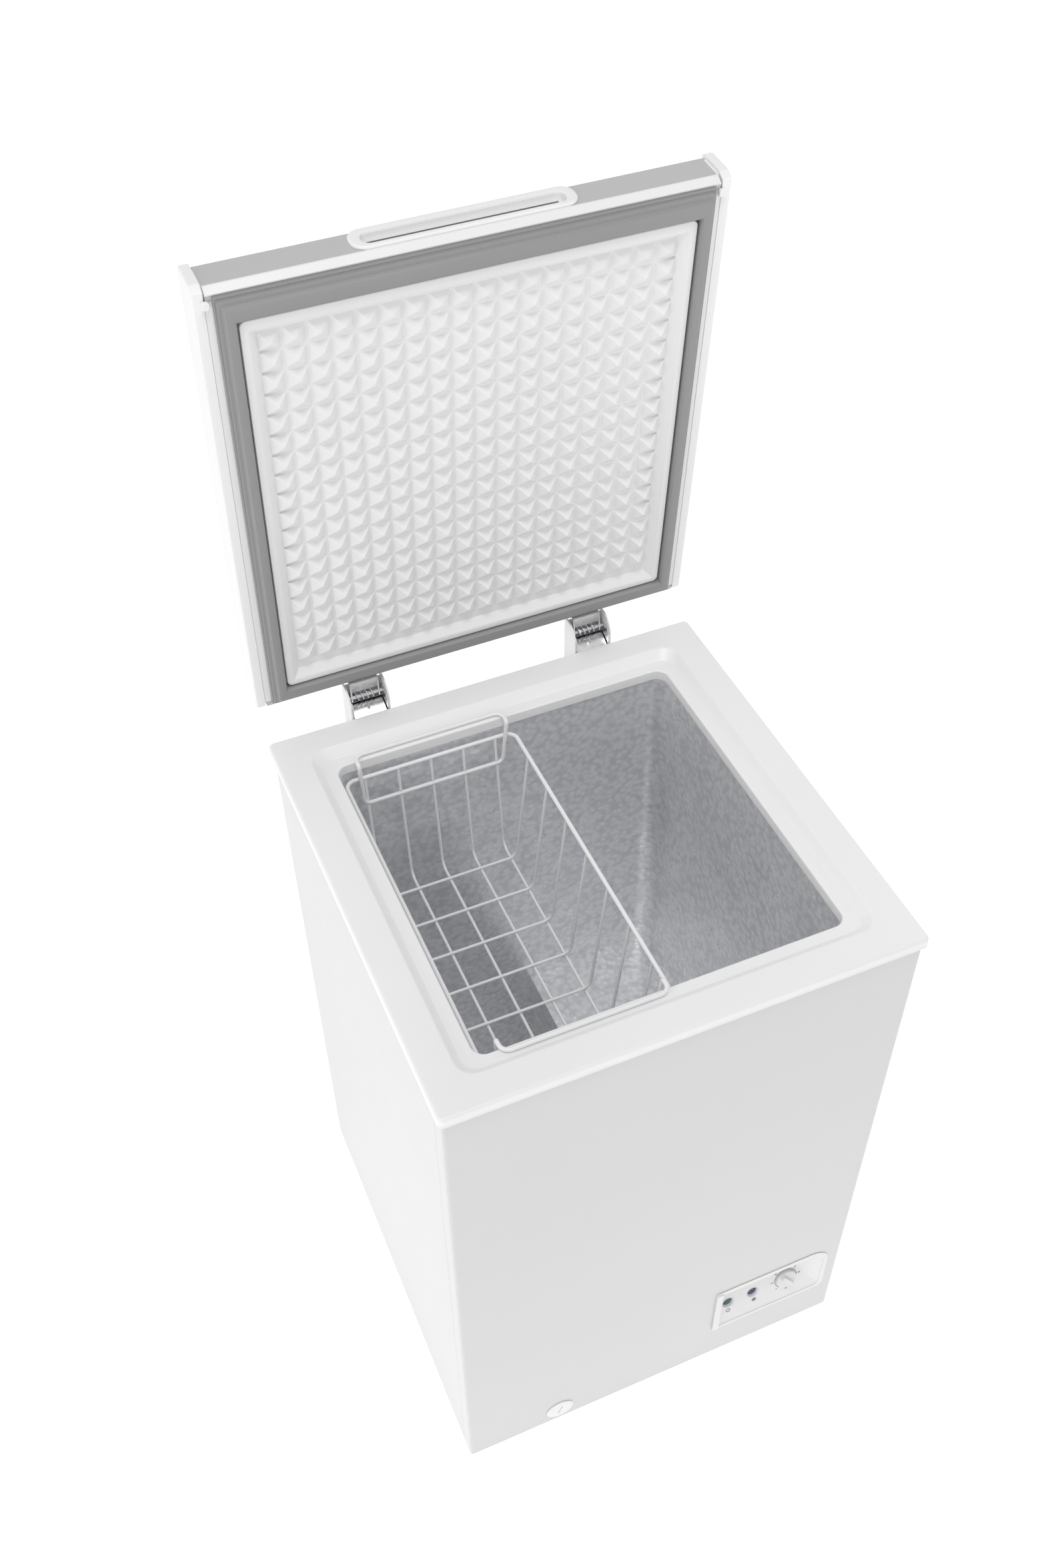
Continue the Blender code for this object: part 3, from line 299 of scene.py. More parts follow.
def enamel(name, colour, rough):
    """Sprayed enamel on steel sheet with a trace of orange peel."""
    mat, tree, bsdf = shader(name, rough)
    dark = tuple(c * 0.98 for c in colour)
    tint(tree, bsdf, noise(tree, 2.5, 2.0), dark, colour)
    sheen_map(tree, bsdf, noise(tree, 30.0, 3.0), rough - 0.02, rough + 0.04)
    relief(tree, bsdf, noise(tree, 320.0, 2.0), 0.03, 0.0004)
    bsdf.inputs["Coat Weight"].default_value = 0.15
    bsdf.inputs["Coat Roughness"].default_value = 0.2
    return mat


def metal(name, dark, light, rough, scale=60.0, strength=0.05, depth=0.0003):
    """Bare metal, lightly clouded."""
    mat, tree, bsdf = shader(name, rough, 1.0)
    tint(tree, bsdf, noise(tree, scale, 4.0), dark, light)
    sheen_map(tree, bsdf, noise(tree, scale * 2, 4.0), rough - 0.05, rough + 0.08)
    relief(tree, bsdf, noise(tree, scale * 8, 3.0), strength, depth)
    return mat


def stucco(name):
    """Stucco-embossed aluminium: irregular raised pebbles on a slightly wavy sheet."""
    mat, tree, bsdf = shader(name, 0.28, 0.60)
    where = coords(tree)
    warp = tree.nodes.new("ShaderNodeTexNoise")
    warp.inputs["Scale"].default_value = 120.0
    warp.inputs["Detail"].default_value = 1.0
    tree.links.new(where, warp.inputs["Vector"])
    mix = tree.nodes.new("ShaderNodeVectorMath")
    mix.operation = "MULTIPLY_ADD"
    mix.inputs[1].default_value = (0.0030, 0.0030, 0.0030)
    tree.links.new(warp.outputs["Color"], mix.inputs[0])
    tree.links.new(where, mix.inputs[2])
    cell = tree.nodes.new("ShaderNodeTexVoronoi")
    cell.feature = "SMOOTH_F1"
    cell.inputs["Scale"].default_value = 135.0
    cell.inputs["Smoothness"].default_value = 0.6
    tree.links.new(mix.outputs["Vector"], cell.inputs["Vector"])
    # base colour lighter on the pebbles and darker between them: painted highlight and painted
    # shade of the emboss
    tint(tree, bsdf, cell.outputs["Distance"], (0.99, 0.99, 0.995), (0.80, 0.81, 0.84))
    sheen_map(tree, bsdf, noise(tree, 18.0, 3.0), 0.22, 0.34)
    relief(tree, bsdf, cell.outputs["Distance"], 0.30, 0.0009)
    wave = tree.nodes.new("ShaderNodeBump")
    wave.inputs["Strength"].default_value = 0.30
    wave.inputs["Distance"].default_value = 0.014
    tree.links.new(noise(tree, 7.0, 1.0, where=where), wave.inputs["Height"])
    fine = bsdf.inputs["Normal"].links[0].from_node
    tree.links.new(wave.outputs["Normal"], fine.inputs["Normal"])
    return mat


def lamp(name, colour, glow):
    """Dark glossy lens with a faint glow."""
    mat, tree, bsdf = shader(name, 0.12)
    tint(tree, bsdf, noise(tree, 300.0, 2.0), tuple(c * 0.7 for c in colour), colour)
    bsdf.inputs["Emission Color"].default_value = (*colour, 1.0)
    bsdf.inputs["Emission Strength"].default_value = glow
    bsdf.inputs["Coat Weight"].default_value = 0.1
    return mat


PLASTIC = moulded("white_plastic", (0.87, 0.87, 0.87), 0.36)
PANEL = moulded("lid_panel_plastic", (0.83, 0.83, 0.83), 0.34, 500.0, 0.02)
BEZEL = moulded("panel_plastic", (0.80, 0.80, 0.80), 0.40)
KNOB = moulded("knob_plastic", (0.78, 0.78, 0.78), 0.36)
PAINT = enamel("white_enamel", (0.65, 0.65, 0.65), 0.34)
# the cabinet's white enamel made darker: painted shade of the lid skin's upward face
LID_SHADED_PAINT = enamel("lid_enamel_painted_shade", (0.52, 0.52, 0.52), 0.36)
SEAL = moulded("seal_rubber", (0.29, 0.29, 0.29), 0.52, 700.0, 0.05)
RUBBER = moulded("black_rubber", (0.025, 0.025, 0.027), 0.62, 600.0, 0.15)
INK = moulded("printed_ink", (0.03, 0.03, 0.035), 0.5, 900.0, 0.02)
# near-black for the handle pocket: painted shade of the deep slot, not the colour of any part
PAINTED_SLOT_SHADE = moulded("painted_slot_shade", (0.13, 0.13, 0.13), 0.6)
BLACK = enamel("black_enamel", (0.03, 0.03, 0.032), 0.38)
ZINC = metal("zinc_sheet", (0.57, 0.58, 0.59), (0.63, 0.64, 0.65), 0.44, 14.0)
CHROME = metal("bright_plate", (0.80, 0.80, 0.81), (0.90, 0.90, 0.91), 0.26, 80.0)
WIRE = moulded("coated_wire", (0.86, 0.86, 0.87), 0.32, 500.0, 0.05)
TUBE = metal("aluminium_tube", (0.62, 0.63, 0.65), (0.74, 0.75, 0.77), 0.36, 60.0)
COPPER = metal("copper_tube", (0.58, 0.30, 0.20), (0.74, 0.42, 0.28), 0.30, 70.0)
LINER = stucco("embossed_aluminium")
FOAM = moulded("foam", (0.80, 0.78, 0.70), 0.9, 300.0, 0.4)
TEAL = lamp("teal_lens", (0.003, 0.075, 0.085), 0.08)
BLUE = lamp("blue_lens", (0.003, 0.014, 0.085), 0.08)


# ---- cabinet ---------------------------------------------------------------------------
def bounds_ring(bounds, inset, r, z):
    """Ring at a height from (half width, front, back), drawn in by inset."""
    half, front, back = bounds
    return ring(-half + inset, half - inset, front + inset, back - inset, r, z)


def top_frame():
    """White moulded frame: skirt, land, sloped recess, basket ledge and lip."""
    t = 0.0020
    low = CAB_H - 0.0138
    outer = (HALF_W, -HALF_D, HALF_D)
    land = (0.2290, -0.2328, 0.2350)
    foot = (0.2165, -0.2201, 0.2214)
    ledge = (0.2051, -0.2096, 0.2103)
    under = (0.2055, -0.2100, 0.2107)
    loops = [bounds_ring(outer, 0.0006, 0.0045, low),
             bounds_ring(outer, 0.0, 0.0050, low + 0.0006)]
    edge = 0.0032       # radii of the outer edge, of both ends of the slope, and of the lip
    soft = 0.0030
    lip = 0.0016
    for k in range(7):
        a = math.radians(90.0 * k / 6)
        inset = edge * (1.0 - math.cos(a))
        loops.append(bounds_ring(outer, inset, 0.0060, CAB_H - edge + edge * math.sin(a)))
    for k in range(6):
        f = k / 5
        a = math.radians(45.0) * f
        inset = soft * math.sin(a) * 1.4
        drop = soft * (1.0 - math.cos(a)) * 1.4
        loops.append(bounds_ring(land, inset, 0.0200, CAB_H - drop))
    for k in range(6):
        f = k / 5
        a = math.radians(45.0) * (1.0 - f)
        inset = -soft * math.sin(a)
        rise = soft * (1.0 - math.cos(a))
        loops.append(bounds_ring(foot, inset, 0.0160, LEDGE_Z + rise))
    for k in range(5):
        a = math.radians(90.0 * k / 4)
        inset = lip * math.sin(a)
        drop = lip * (1.0 - math.cos(a))
        loops.append(bounds_ring(ledge, inset, 0.0140, LEDGE_Z - drop))
    loops += [bounds_ring(ledge, lip, 0.0130, LIP_Z),
              bounds_ring(under, 0.0, 0.0150, LIP_Z),
              bounds_ring(under, 0.0, 0.0150, LEDGE_Z - t),
              bounds_ring(foot, -t, 0.0160, LEDGE_Z - t),
              bounds_ring(land, 0.0005, 0.0210, CAB_H - t),
              bounds_ring(outer, t, 0.0030, CAB_H - t),
              bounds_ring(outer, t, 0.0030, low)]
    put(smooth(loft("frame_moulding", loops, closed=True), 50.0), "cabinet", PLASTIC,
        ["top_frame"])


def tub_space(name, grow, top, floor):
    """Space inside the tub, grown outwards by a thickness, with its compressor step."""
    x = 0.2058 + grow
    f = -0.2103 - grow
    b = 0.2110 + grow
    r = 0.0220 + grow
    base = floor - grow
    bend = 0.010
    loops = []
    for k in range(6):
        a = math.radians(90.0 * k / 5)
        inset = bend * (1.0 - math.sin(a))
        loops.append(ring(-x + inset, x - inset, f + inset, b - inset, r - inset,
                          base + bend * (1.0 - math.cos(a)), 10))
    loops.append(ring(-x, x, f, b, r, top, 10))
    obj = loft(name, loops)
    step = prism(name + "_step", rect(0.0300 + grow, 0.3, -0.3, 0.3, 0.0), "Z", -0.1,
                 0.2750 - grow)
    return tool(step, obj)


def inner_liner():
    """Thin embossed tub with the drain hole in its floor."""
    floor = 0.0600
    obj = tub_space("tub_sheet", 0.0008, LIP_Z - 0.0003, floor)
    space = tub_space("tub_space", 0.0, LIP_Z + 0.05, floor)
    bpy.context.scene.collection.objects.unlink(space)
    obj = tool(space, obj)
    drain = cone("hole", 0.010, 0.02, Matrix.Translation((-0.1360, -0.1600, floor)))
    obj = tool(drain, obj)
    put(smooth(obj, 40.0), "cabinet", LINER, ["inner_liner"])


def fine_bezel():
    """Control housing: flange, grip rib, and a recess with slanted floor and right wall."""
    left = 0.0875
    right = 0.2365
    high = 0.1595

    def floor_y(z, behind=0.0):
        return BODY_F + RECESS_SLOPE * (z - RECESS_LOW) + behind

    def pocket(name, grow, front):
        low = RECESS_LOW - grow
        outline = fillet([(left - grow, low), (right + grow, low),
                          (right + grow, high + grow), (left - grow, high + grow)],
                         [0.002, 0.007, 0.022, 0.002], 10)
        obj = prism(name, outline, "Y", front, -0.2200)
        wedge = prism(name + "_floor", [(-0.2900, 0.04), (floor_y(0.04, grow), 0.04),
                                        (floor_y(0.20, grow), 0.20), (-0.2900, 0.20)], "X",
                      0.0, 0.4)
        obj = tool(wedge, obj, "INTERSECT")
        run = 2.3
        wall = right + grow
        side = prism(name + "_side", [(0.0, -0.2900), (wall + 0.0274 * run, -0.2900),
                                      (wall - 0.0426 * run, -0.2200), (0.0, -0.2200)], "Z",
                     0.0, 0.3)
        return tool(side, obj, "INTERSECT")

    obj = pocket("bezel_shell", 0.0018, BODY_F - 0.0006)
    outline = fillet([(0.0790, 0.0670), (0.2430, 0.0670), (0.2430, 0.1670), (0.0790, 0.1670)],
                     [0.003, 0.010, 0.028, 0.003], 10)
    flange = prism("flange", outline, "Y", BODY_F - 0.0012, BODY_F - 0.0003)
    obj = tool(flange, obj, "UNION")
    rib = prism("rib", rect(0.0790, 0.0885, 0.0690, 0.1640, 0.003, 6), "Y", BODY_F - 0.0032,
                BODY_F - 0.0010)
    obj = tool(rib, obj, "UNION")
    inside = pocket("bezel_space", 0.0, -0.2850)
    bpy.context.scene.collection.objects.unlink(inside)
    obj = tool(inside, obj)
    tilt = math.atan2(1.0, RECESS_SLOPE)
    for x, z, r in ((POWER_X, LIGHT_Z, 0.0088), (RUN_X, LIGHT_Z, 0.0088),
                    (DIAL_X, DIAL_Z, 0.0036)):
        hole = cone("hole", r, 0.0120, Matrix.Translation((x, floor_y(z), z))
                    @ Matrix.Rotation(tilt, 4, "X"), 40)
        obj = tool(hole, obj)
    put(soften(smooth(obj, 35.0), 0.0007, 2, 35.0), "cabinet", BEZEL, ["control_bezel"])


def on_panel(x, b, proud):
    """Point on the slanted floor of the control recess, b up the slope, proud of its face."""
    tilt = math.atan(RECESS_SLOPE)
    return (x, BODY_F + b * math.sin(tilt) - proud * math.cos(tilt),
            RECESS_LOW + b * math.cos(tilt) + proud * math.sin(tilt))


def up_slope(z):
    """Length up the slanted floor to a height."""
    return (z - RECESS_LOW) * math.hypot(1.0, RECESS_SLOPE)


def light_cups():
    """White conical cups that the two indicator lights sit in."""
    for name, x in (("light_cup_power", POWER_X), ("light_cup_run", RUN_X)):
        b = up_slope(LIGHT_Z)
        loops = []
        for radius, proud in ((0.0086, -0.0050), (0.0086, 0.0002), (0.0082, 0.0005),
                              (0.0078, 0.0002), (0.0064, -0.0050)):
            loops.append([on_panel(x + radius * math.cos(math.radians(a)),
                                   b + radius * math.sin(math.radians(a)), proud)
                          for a in range(0, 360, 9)])
        put(smooth(loft(name, loops, closed=True), 40.0), "cabinet", BEZEL)


def stroke(path, width):
    """Thin printed line along a path on the slanted floor, as one closed strip."""
    loops = []
    for i, (x, b) in enumerate(path):
        ahead = path[min(i + 1, len(path) - 1)]
        back = path[max(i - 1, 0)]
        dx = ahead[0] - back[0]
        db = ahead[1] - back[1]
        size = math.hypot(dx, db)
        ox = -db / size * width / 2
        ob = dx / size * width / 2
        loops.append([on_panel(x + ox, b + ob, 0.00005), on_panel(x - ox, b - ob, 0.00005),
                      on_panel(x - ox, b - ob, 0.00020), on_panel(x + ox, b + ob, 0.00020)])
    return loops


def arc(cx, cb, radius, start, end):
    """Path along a circle on the slanted floor, angles in degrees."""
    steps = max(3, int(abs(end - start) / 6))
    angles = [math.radians(start + (end - start) * k / steps) for k in range(steps + 1)]
    return [(cx + radius * math.cos(a), cb + radius * math.sin(a)) for a in angles]


def panel_marks():
    """Dial scale 0 to 6, a power ring and a snowflake, printed in dark ink."""
    dial_b = up_slope(DIAL_Z)
    strips = []
    first = -90.0
    pitch = 45.0
    for number in range(7):
        a = first - pitch * number
        tick = math.radians(a)
        strips.append(stroke([(DIAL_X + r * math.cos(tick), dial_b + r * math.sin(tick))
                              for r in (0.0152, 0.0166)], 0.0013))
        if 0 < number < 6:
            strips.append(stroke(arc(DIAL_X, dial_b, 0.0159, a - 6.0, a - pitch + 6.0), 0.0006))
    power_x = 0.1045
    snow_x = 0.1425
    mark_b = 0.0215
    strips.append(stroke(arc(power_x, mark_b, 0.0027, 120.0, 420.0), 0.0007))
    strips.append(stroke([(power_x, 0.0222), (power_x, 0.0252)], 0.0007))
    for k in range(6):
        a = math.radians(30.0 + 60.0 * k)
        tip = (snow_x + 0.0033 * math.cos(a), mark_b + 0.0033 * math.sin(a))
        strips.append(stroke([(snow_x, mark_b), tip], 0.0006))
        fork = (snow_x + 0.0019 * math.cos(a), mark_b + 0.0019 * math.sin(a))
        for turn in (-0.8, 0.8):
            strips.append(stroke([fork, (fork[0] + 0.0014 * math.cos(a + turn),
                                         fork[1] + 0.0014 * math.sin(a + turn))], 0.0005))
    verts = []
    faces = []
    for loops in strips:
        base = len(verts)
        verts += [v for loop in loops for v in loop]
        for i in range(len(loops) - 1):
            for k in range(4):
                m = (k + 1) % 4
                faces.append((base + 4 * i + k, base + 4 * i + m, base + 4 * i + 4 + m,
                              base + 4 * i + 4 + k))
        last = base + 4 * (len(loops) - 1)
        faces += [(base, base + 1, base + 2, base + 3), (last, last + 1, last + 2, last + 3)]
    put(mesh_object("dial_scale", verts, faces), "cabinet", INK)
    for number in range(7):
        turn = first - pitch * number
        a = math.radians(turn)
        data = bpy.data.curves.new("digit", "FONT")
        data.body = str(number)
        data.size = 0.0048
        data.extrude = 0.00008
        data.align_x = "CENTER"
        data.align_y = "CENTER"
        text = bpy.data.objects.new("digit", data)
        bpy.context.scene.collection.objects.link(text)
        depsgraph = bpy.context.evaluated_depsgraph_get()
        mesh = bpy.data.meshes.new_from_object(text.evaluated_get(depsgraph))
        bpy.data.objects.remove(text, do_unlink=True)
        spot = on_panel(DIAL_X + 0.0200 * math.cos(a), dial_b + 0.0200 * math.sin(a), 0.00013)
        mesh.transform(SHIFT @ Matrix.Translation(spot)
                       @ Matrix.Rotation(math.atan2(1.0, RECESS_SLOPE), 4, "X")
                       @ Matrix.Rotation(a - math.radians(90.0), 4, "Z"))
        put(bpy.data.objects.new("dial_number_" + str(number), mesh), "cabinet", INK)


def cad_materials():
    """Materials of the CAD nodes that keep their own shape."""
    groups = {
        PAINT: ("front_panel", "side_panel_left", "side_panel_right"),
        ZINC: ("back_panel", "base_pan", "machine_room_sheet", "thermostat_body"),
        PLASTIC: ("machine_cover", "hinge_cover_left", "hinge_cover_right", "hinge_cap_left",
                  "hinge_cap_right", "drain_cap", "drain_tube"),
        KNOB: ("thermostat_knob",),
        CHROME: ("hinge_bracket_left", "hinge_bracket_right", "hinge_leaf_left",
                 "hinge_leaf_right", "hinge_pin_left", "hinge_pin_right", "hinge_spring_left",
                 "hinge_spring_right"),
        RUBBER: ("lead_gland", "foot_front_left", "foot_front_right", "foot_rear_left",
                 "foot_rear_right", "drain_plug", "compressor_mount_front_left",
                 "compressor_mount_rear_left", "compressor_mount_front_right",
                 "compressor_mount_rear_right", "relay_cover"),
        BLACK: ("compressor", "compressor_plate", "condenser_coil"),
        COPPER: ("filter_dryer", "suction_line", "discharge_line"),
        TUBE: ("evaporator_coil",),
        FOAM: ("foam_insulation", "lid_foam"),
        TEAL: ("power_light",),
        BLUE: ("run_light",),
    }
    for mat, names in groups.items():
        for name in names:
            smooth(NODES[name])
            NODES[name].data.materials.clear()
            NODES[name].data.materials.append(mat)


def hinge_sheets():
    """Bright sheet and short post seen in the mouth of each fixed hinge leaf."""
    half = 0.0190
    t = 0.0009
    for name, x in (("hinge_sheet_left", -HINGE_X), ("hinge_sheet_right", HINGE_X)):
        run = [(0.2674 + 0.0180 * k / 8, 0.7950 + 0.0075 * math.sin(math.radians(90.0 * k / 8)))
               for k in range(9)]
        path = run + [(y, z - t) for y, z in reversed(run)]
        put(smooth(prism(name, path, "X", x - half, x + half), 40.0), "cabinet", CHROME)
        post = cone(name + "_post", 0.0014, 0.0055,
                    Matrix.Translation((x, 0.2755, 0.8030)), 20, 0.0011)
        put(smooth(post), "cabinet", CHROME)


# ---- basket ----------------------------------------------------------------------------
def basket():
    """Welded basket: rim and hangers of thick wire, sides and floor of thin wire."""
    x0 = -0.1967
    x1 = 0.0093
    d = 0.2030
    rim_z = 0.7680
    low = 0.6030
    taper = 0.0180
    hook = LEDGE_Z + 0.0028
    thick = [[(x, y, rim_z) for x, y in rect(x0, x1, -d, d, 0.012, 8)]]
    loops = [True]
    for end in (-1, 1):
        y = end * (d - 0.0048)
        out = end * 0.2150
        corners = [(-0.1770, y, 0.7310), (-0.1790, y, hook), (-0.1790, out, hook),
                   (-0.0010, out, hook), (-0.0010, y, hook), (-0.0070, y, 0.7310)]
        thick.append(fillet(corners, [0.008, 0.004, 0.010, 0.010, 0.004, 0.008], 6))
        loops.append(True)
    put(wires("basket_frame_wire", thick, 0.0024, loops), "basket", WIRE, ["wire_basket"])
    thin = []
    for y in (0.0, 0.053, 0.106, 0.159, -0.053, -0.106, -0.159):
        path = [(x0 + 0.0005, y, rim_z), (x0 + taper, y, low), (x1 - taper, y, low),
                (x1 - 0.0005, y, rim_z)]
        thin.append(fillet(path, 0.012, 6, False))
    for x in (-0.1730, -0.1333, -0.0937, -0.0541, -0.0144):
        z = low - 0.0034
        path = [(x, -d + 0.0005, rim_z), (x, -d + taper, z), (x, d - taper, z),
                (x, d - 0.0005, rim_z)]
        thin.append(fillet(path, 0.014, 6, False))
    put(wires("basket_cross_wire", thin, 0.0018, [False] * len(thin)), "basket", WIRE)


# ---- lid -------------------------------------------------------------------------------
def lid_panel():
    """Formed liner of the lid: rim, sloped border and a field of low square pyramids."""
    deep = 0.0085
    t = 0.0014
    half = 0.2102
    s0 = 0.0255
    s1 = 0.4510
    loops = [lid_ring(half, s0, s1, 0.0003, deep),
             lid_ring(0.2105, 0.0165, 0.4520, 0.0006, deep),
             lid_ring(0.2185, 0.0085, 0.4565, 0.0015, 0.0010),
             lid_ring(0.2192, 0.0078, 0.4572, 0.0022, 0.0003),
             lid_ring(0.2202, 0.0068, 0.4582, 0.0030, 0.0),
             lid_ring(0.2255, 0.0015, 0.4668, 0.0050, 0.0),
             lid_ring(0.2266, 0.0004, 0.4679, 0.0058, 0.0004),
             lid_ring(0.2270, 0.0000, 0.4683, 0.0062, 0.0014),
             lid_ring(0.2270, 0.0000, 0.4683, 0.0062, deep),
             lid_ring(0.2530, -0.0240, 0.4902, 0.0020, deep),
             lid_ring(0.2530, -0.0240, 0.4902, 0.0020, deep + t),
             lid_ring(half, s0, s1, 0.0003, deep + t)]
    put(smooth(loft("lid_panel_border", loops, closed=True, lid=True), 30.0), "lid", PANEL,
        ["lid_inner_panel"])
    count = 18
    base = 0.0103
    tip = 0.0007
    height = 0.0076
    px = 0.0235
    ps = (s1 - s0) / count
    xs = [-half]
    ss = [s0]
    for i in range(count):
        cx = (i - (count - 1) / 2) * px
        cs = s0 + ps * (i + 0.5)
        xs += [cx - base, cx + base]
        ss += [cs - base, cs + base]
    xs.append(half)
    ss.append(s1)
    verts = [(x, LID_Y - s, LID_Z + deep) for s in ss for x in xs]
    wide = len(xs)
    faces = []
    for j in range(len(ss) - 1):
        for i in range(wide - 1):
            quad = (j * wide + i, j * wide + i + 1, (j + 1) * wide + i + 1, (j + 1) * wide + i)
            if i % 2 == 0 or j % 2 == 0:
                faces.append(quad)
                continue
            cx = (xs[i] + xs[i + 1]) / 2
            cs = (ss[j] + ss[j + 1]) / 2
            top = len(verts)
            for a, b in ((-tip, -tip), (tip, -tip), (tip, tip), (-tip, tip)):
                verts.append((cx + a, LID_Y - (cs + b), LID_Z + deep - height))
            for k in range(4):
                m = (k + 1) % 4
                faces.append((quad[k], quad[m], top + m, top + k))
            faces.append((top, top + 1, top + 2, top + 3))
    field = mesh_object("lid_panel_pyramids", verts, faces, lid=True)
    soften(field, 0.0006, 2, 12.0)
    put(smooth(field, 60.0), "lid", PANEL)


def lid_gasket():
    """Seal with a retaining lip, a groove and a flat bulb."""
    top = LID_BOT - 0.0003

    def at(f, n):
        half = 0.2460 - 0.0170 * f
        s0 = -0.0250 + 0.0230 * f
        s1 = 0.4950 - 0.0250 * f
        return lid_ring(half, s0, s1, 0.0004, n, 1)

    loops = [at(0.0, top), at(0.0, 0.0050), at(0.05, 0.0042), at(0.10, 0.0042), at(0.12, 0.0012),
             at(0.15, 0.0006), at(0.30, 0.0002), at(0.34, -0.0016), at(0.38, -0.0036),
             at(0.44, -0.0047), at(0.52, -0.0050), at(0.84, -0.0050), at(0.93, -0.0044),
             at(0.98, -0.0030), at(1.0, -0.0010), at(1.0, top)]
    put(smooth(loft("lid_seal", loops, closed=True, lid=True), 28.0), "lid", SEAL, ["lid_gasket"])


def lid_shell():
    """Bent steel skin between the end caps, and the white strip along its front edge."""
    t = 0.0010
    outer = [(-0.0243, LID_BOT), (LID_REAR, LID_BOT), (LID_REAR, LID_TOP),
             (LID_FRONT, LID_TOP), (LID_FRONT, 0.0158), (0.4965, LID_BOT), (0.4906, LID_BOT)]
    inner = [(-0.0243, LID_BOT + t), (LID_REAR + t, LID_BOT + t), (LID_REAR + t, LID_TOP - t),
             (LID_FRONT - t, LID_TOP - t), (LID_FRONT - t, 0.0161), (0.4961, LID_BOT + t),
             (0.4906, LID_BOT + t)]
    a = fillet(outer, [0, 0.0015, 0.0045, 0.0035, 0.0015, 0.0012, 0], 6, False)
    b = fillet(inner, [0, 0.0005, 0.0035, 0.0025, 0.0005, 0.0004, 0], 6, False)
    path = [(LID_Y - s, LID_Z + n) for s, n in a] + [(LID_Y - s, LID_Z + n)
                                                    for s, n in reversed(b)]
    obj = prism("lid_steel", path, "X", -SKIN_HALF, SKIN_HALF, lid=True)
    hole = prism("hole", rect(-0.1045, 0.1045, LID_Z + 0.0195, LID_Z + 0.0440, 0.008), "Y",
                 LID_Y - 0.52, LID_Y - 0.49, lid=True)
    obj = tool(hole, obj)
    # skin in the darkened enamel, which carries painted shade
    put(smooth(obj, 30.0), "lid", LID_SHADED_PAINT, ["lid_skin"])
    strip = [(0.4956, 0.0080), (0.4969, 0.0078), (0.5014, 0.0150), (0.5014, 0.0168),
             (0.5010, 0.0168), (0.5010, 0.0156), (0.4966, 0.0083)]
    trim = prism("lid_front_strip", [(LID_Y - s, LID_Z + n) for s, n in strip], "X",
                 -SKIN_HALF, SKIN_HALF, lid=True)
    put(smooth(trim, 30.0), "lid", PANEL)


def end_cap(name, side, node):
    """White cap on one end of the lid, with a groove against the skin and a small lug."""
    proud = 0.0036
    top = 0.0520
    outline = fillet([(LID_REAR, LID_BOT), (LID_REAR, top), (LID_FRONT + proud, top),
                      (LID_FRONT + proud, 0.0170), (LID_FRONT - 0.0010, LID_BOT)],
                     [0.003, 0.005, 0.004, 0.002, 0.002], 8)
    inner = 0.2533
    soft = 0.0018
    loops = []
    centre_s = (LID_REAR + LID_FRONT + proud) / 2
    centre_n = (LID_BOT + top) / 2
    half_s = (LID_FRONT + proud - LID_REAR) / 2
    half_n = (top - LID_BOT) / 2

    def at(x, inset):
        fs = (half_s - inset) / half_s
        fn = (half_n - inset) / half_n
        return [(side * x, LID_Y - (centre_s + (s - centre_s) * fs),
                 LID_Z + centre_n + (n - centre_n) * fn) for s, n in outline]

    groove = 0.0040
    loops.append(at(SKIN_HALF, groove))
    loops.append(at(inner, groove))
    loops.append(at(inner, 0.0))
    for k in range(6):
        a = math.radians(90.0 * k / 5)
        loops.append(at(HALF_W - soft + soft * math.sin(a), soft * (1.0 - math.cos(a))))
    put(smooth(loft(name, loops, lid=True), 40.0), "lid", PLASTIC, [node])
    lug = prism(name + "_lug", rect(side * 0.2525 - 0.0035, side * 0.2525 + 0.0035,
                                    LID_Y - 0.4920, LID_Y - 0.4840, 0.0025, 6), "Z",
                LID_Z + 0.0040, LID_Z + LID_BOT - 0.0002, lid=True)
    put(soften(smooth(lug, 40.0), 0.0008), "lid", PLASTIC)


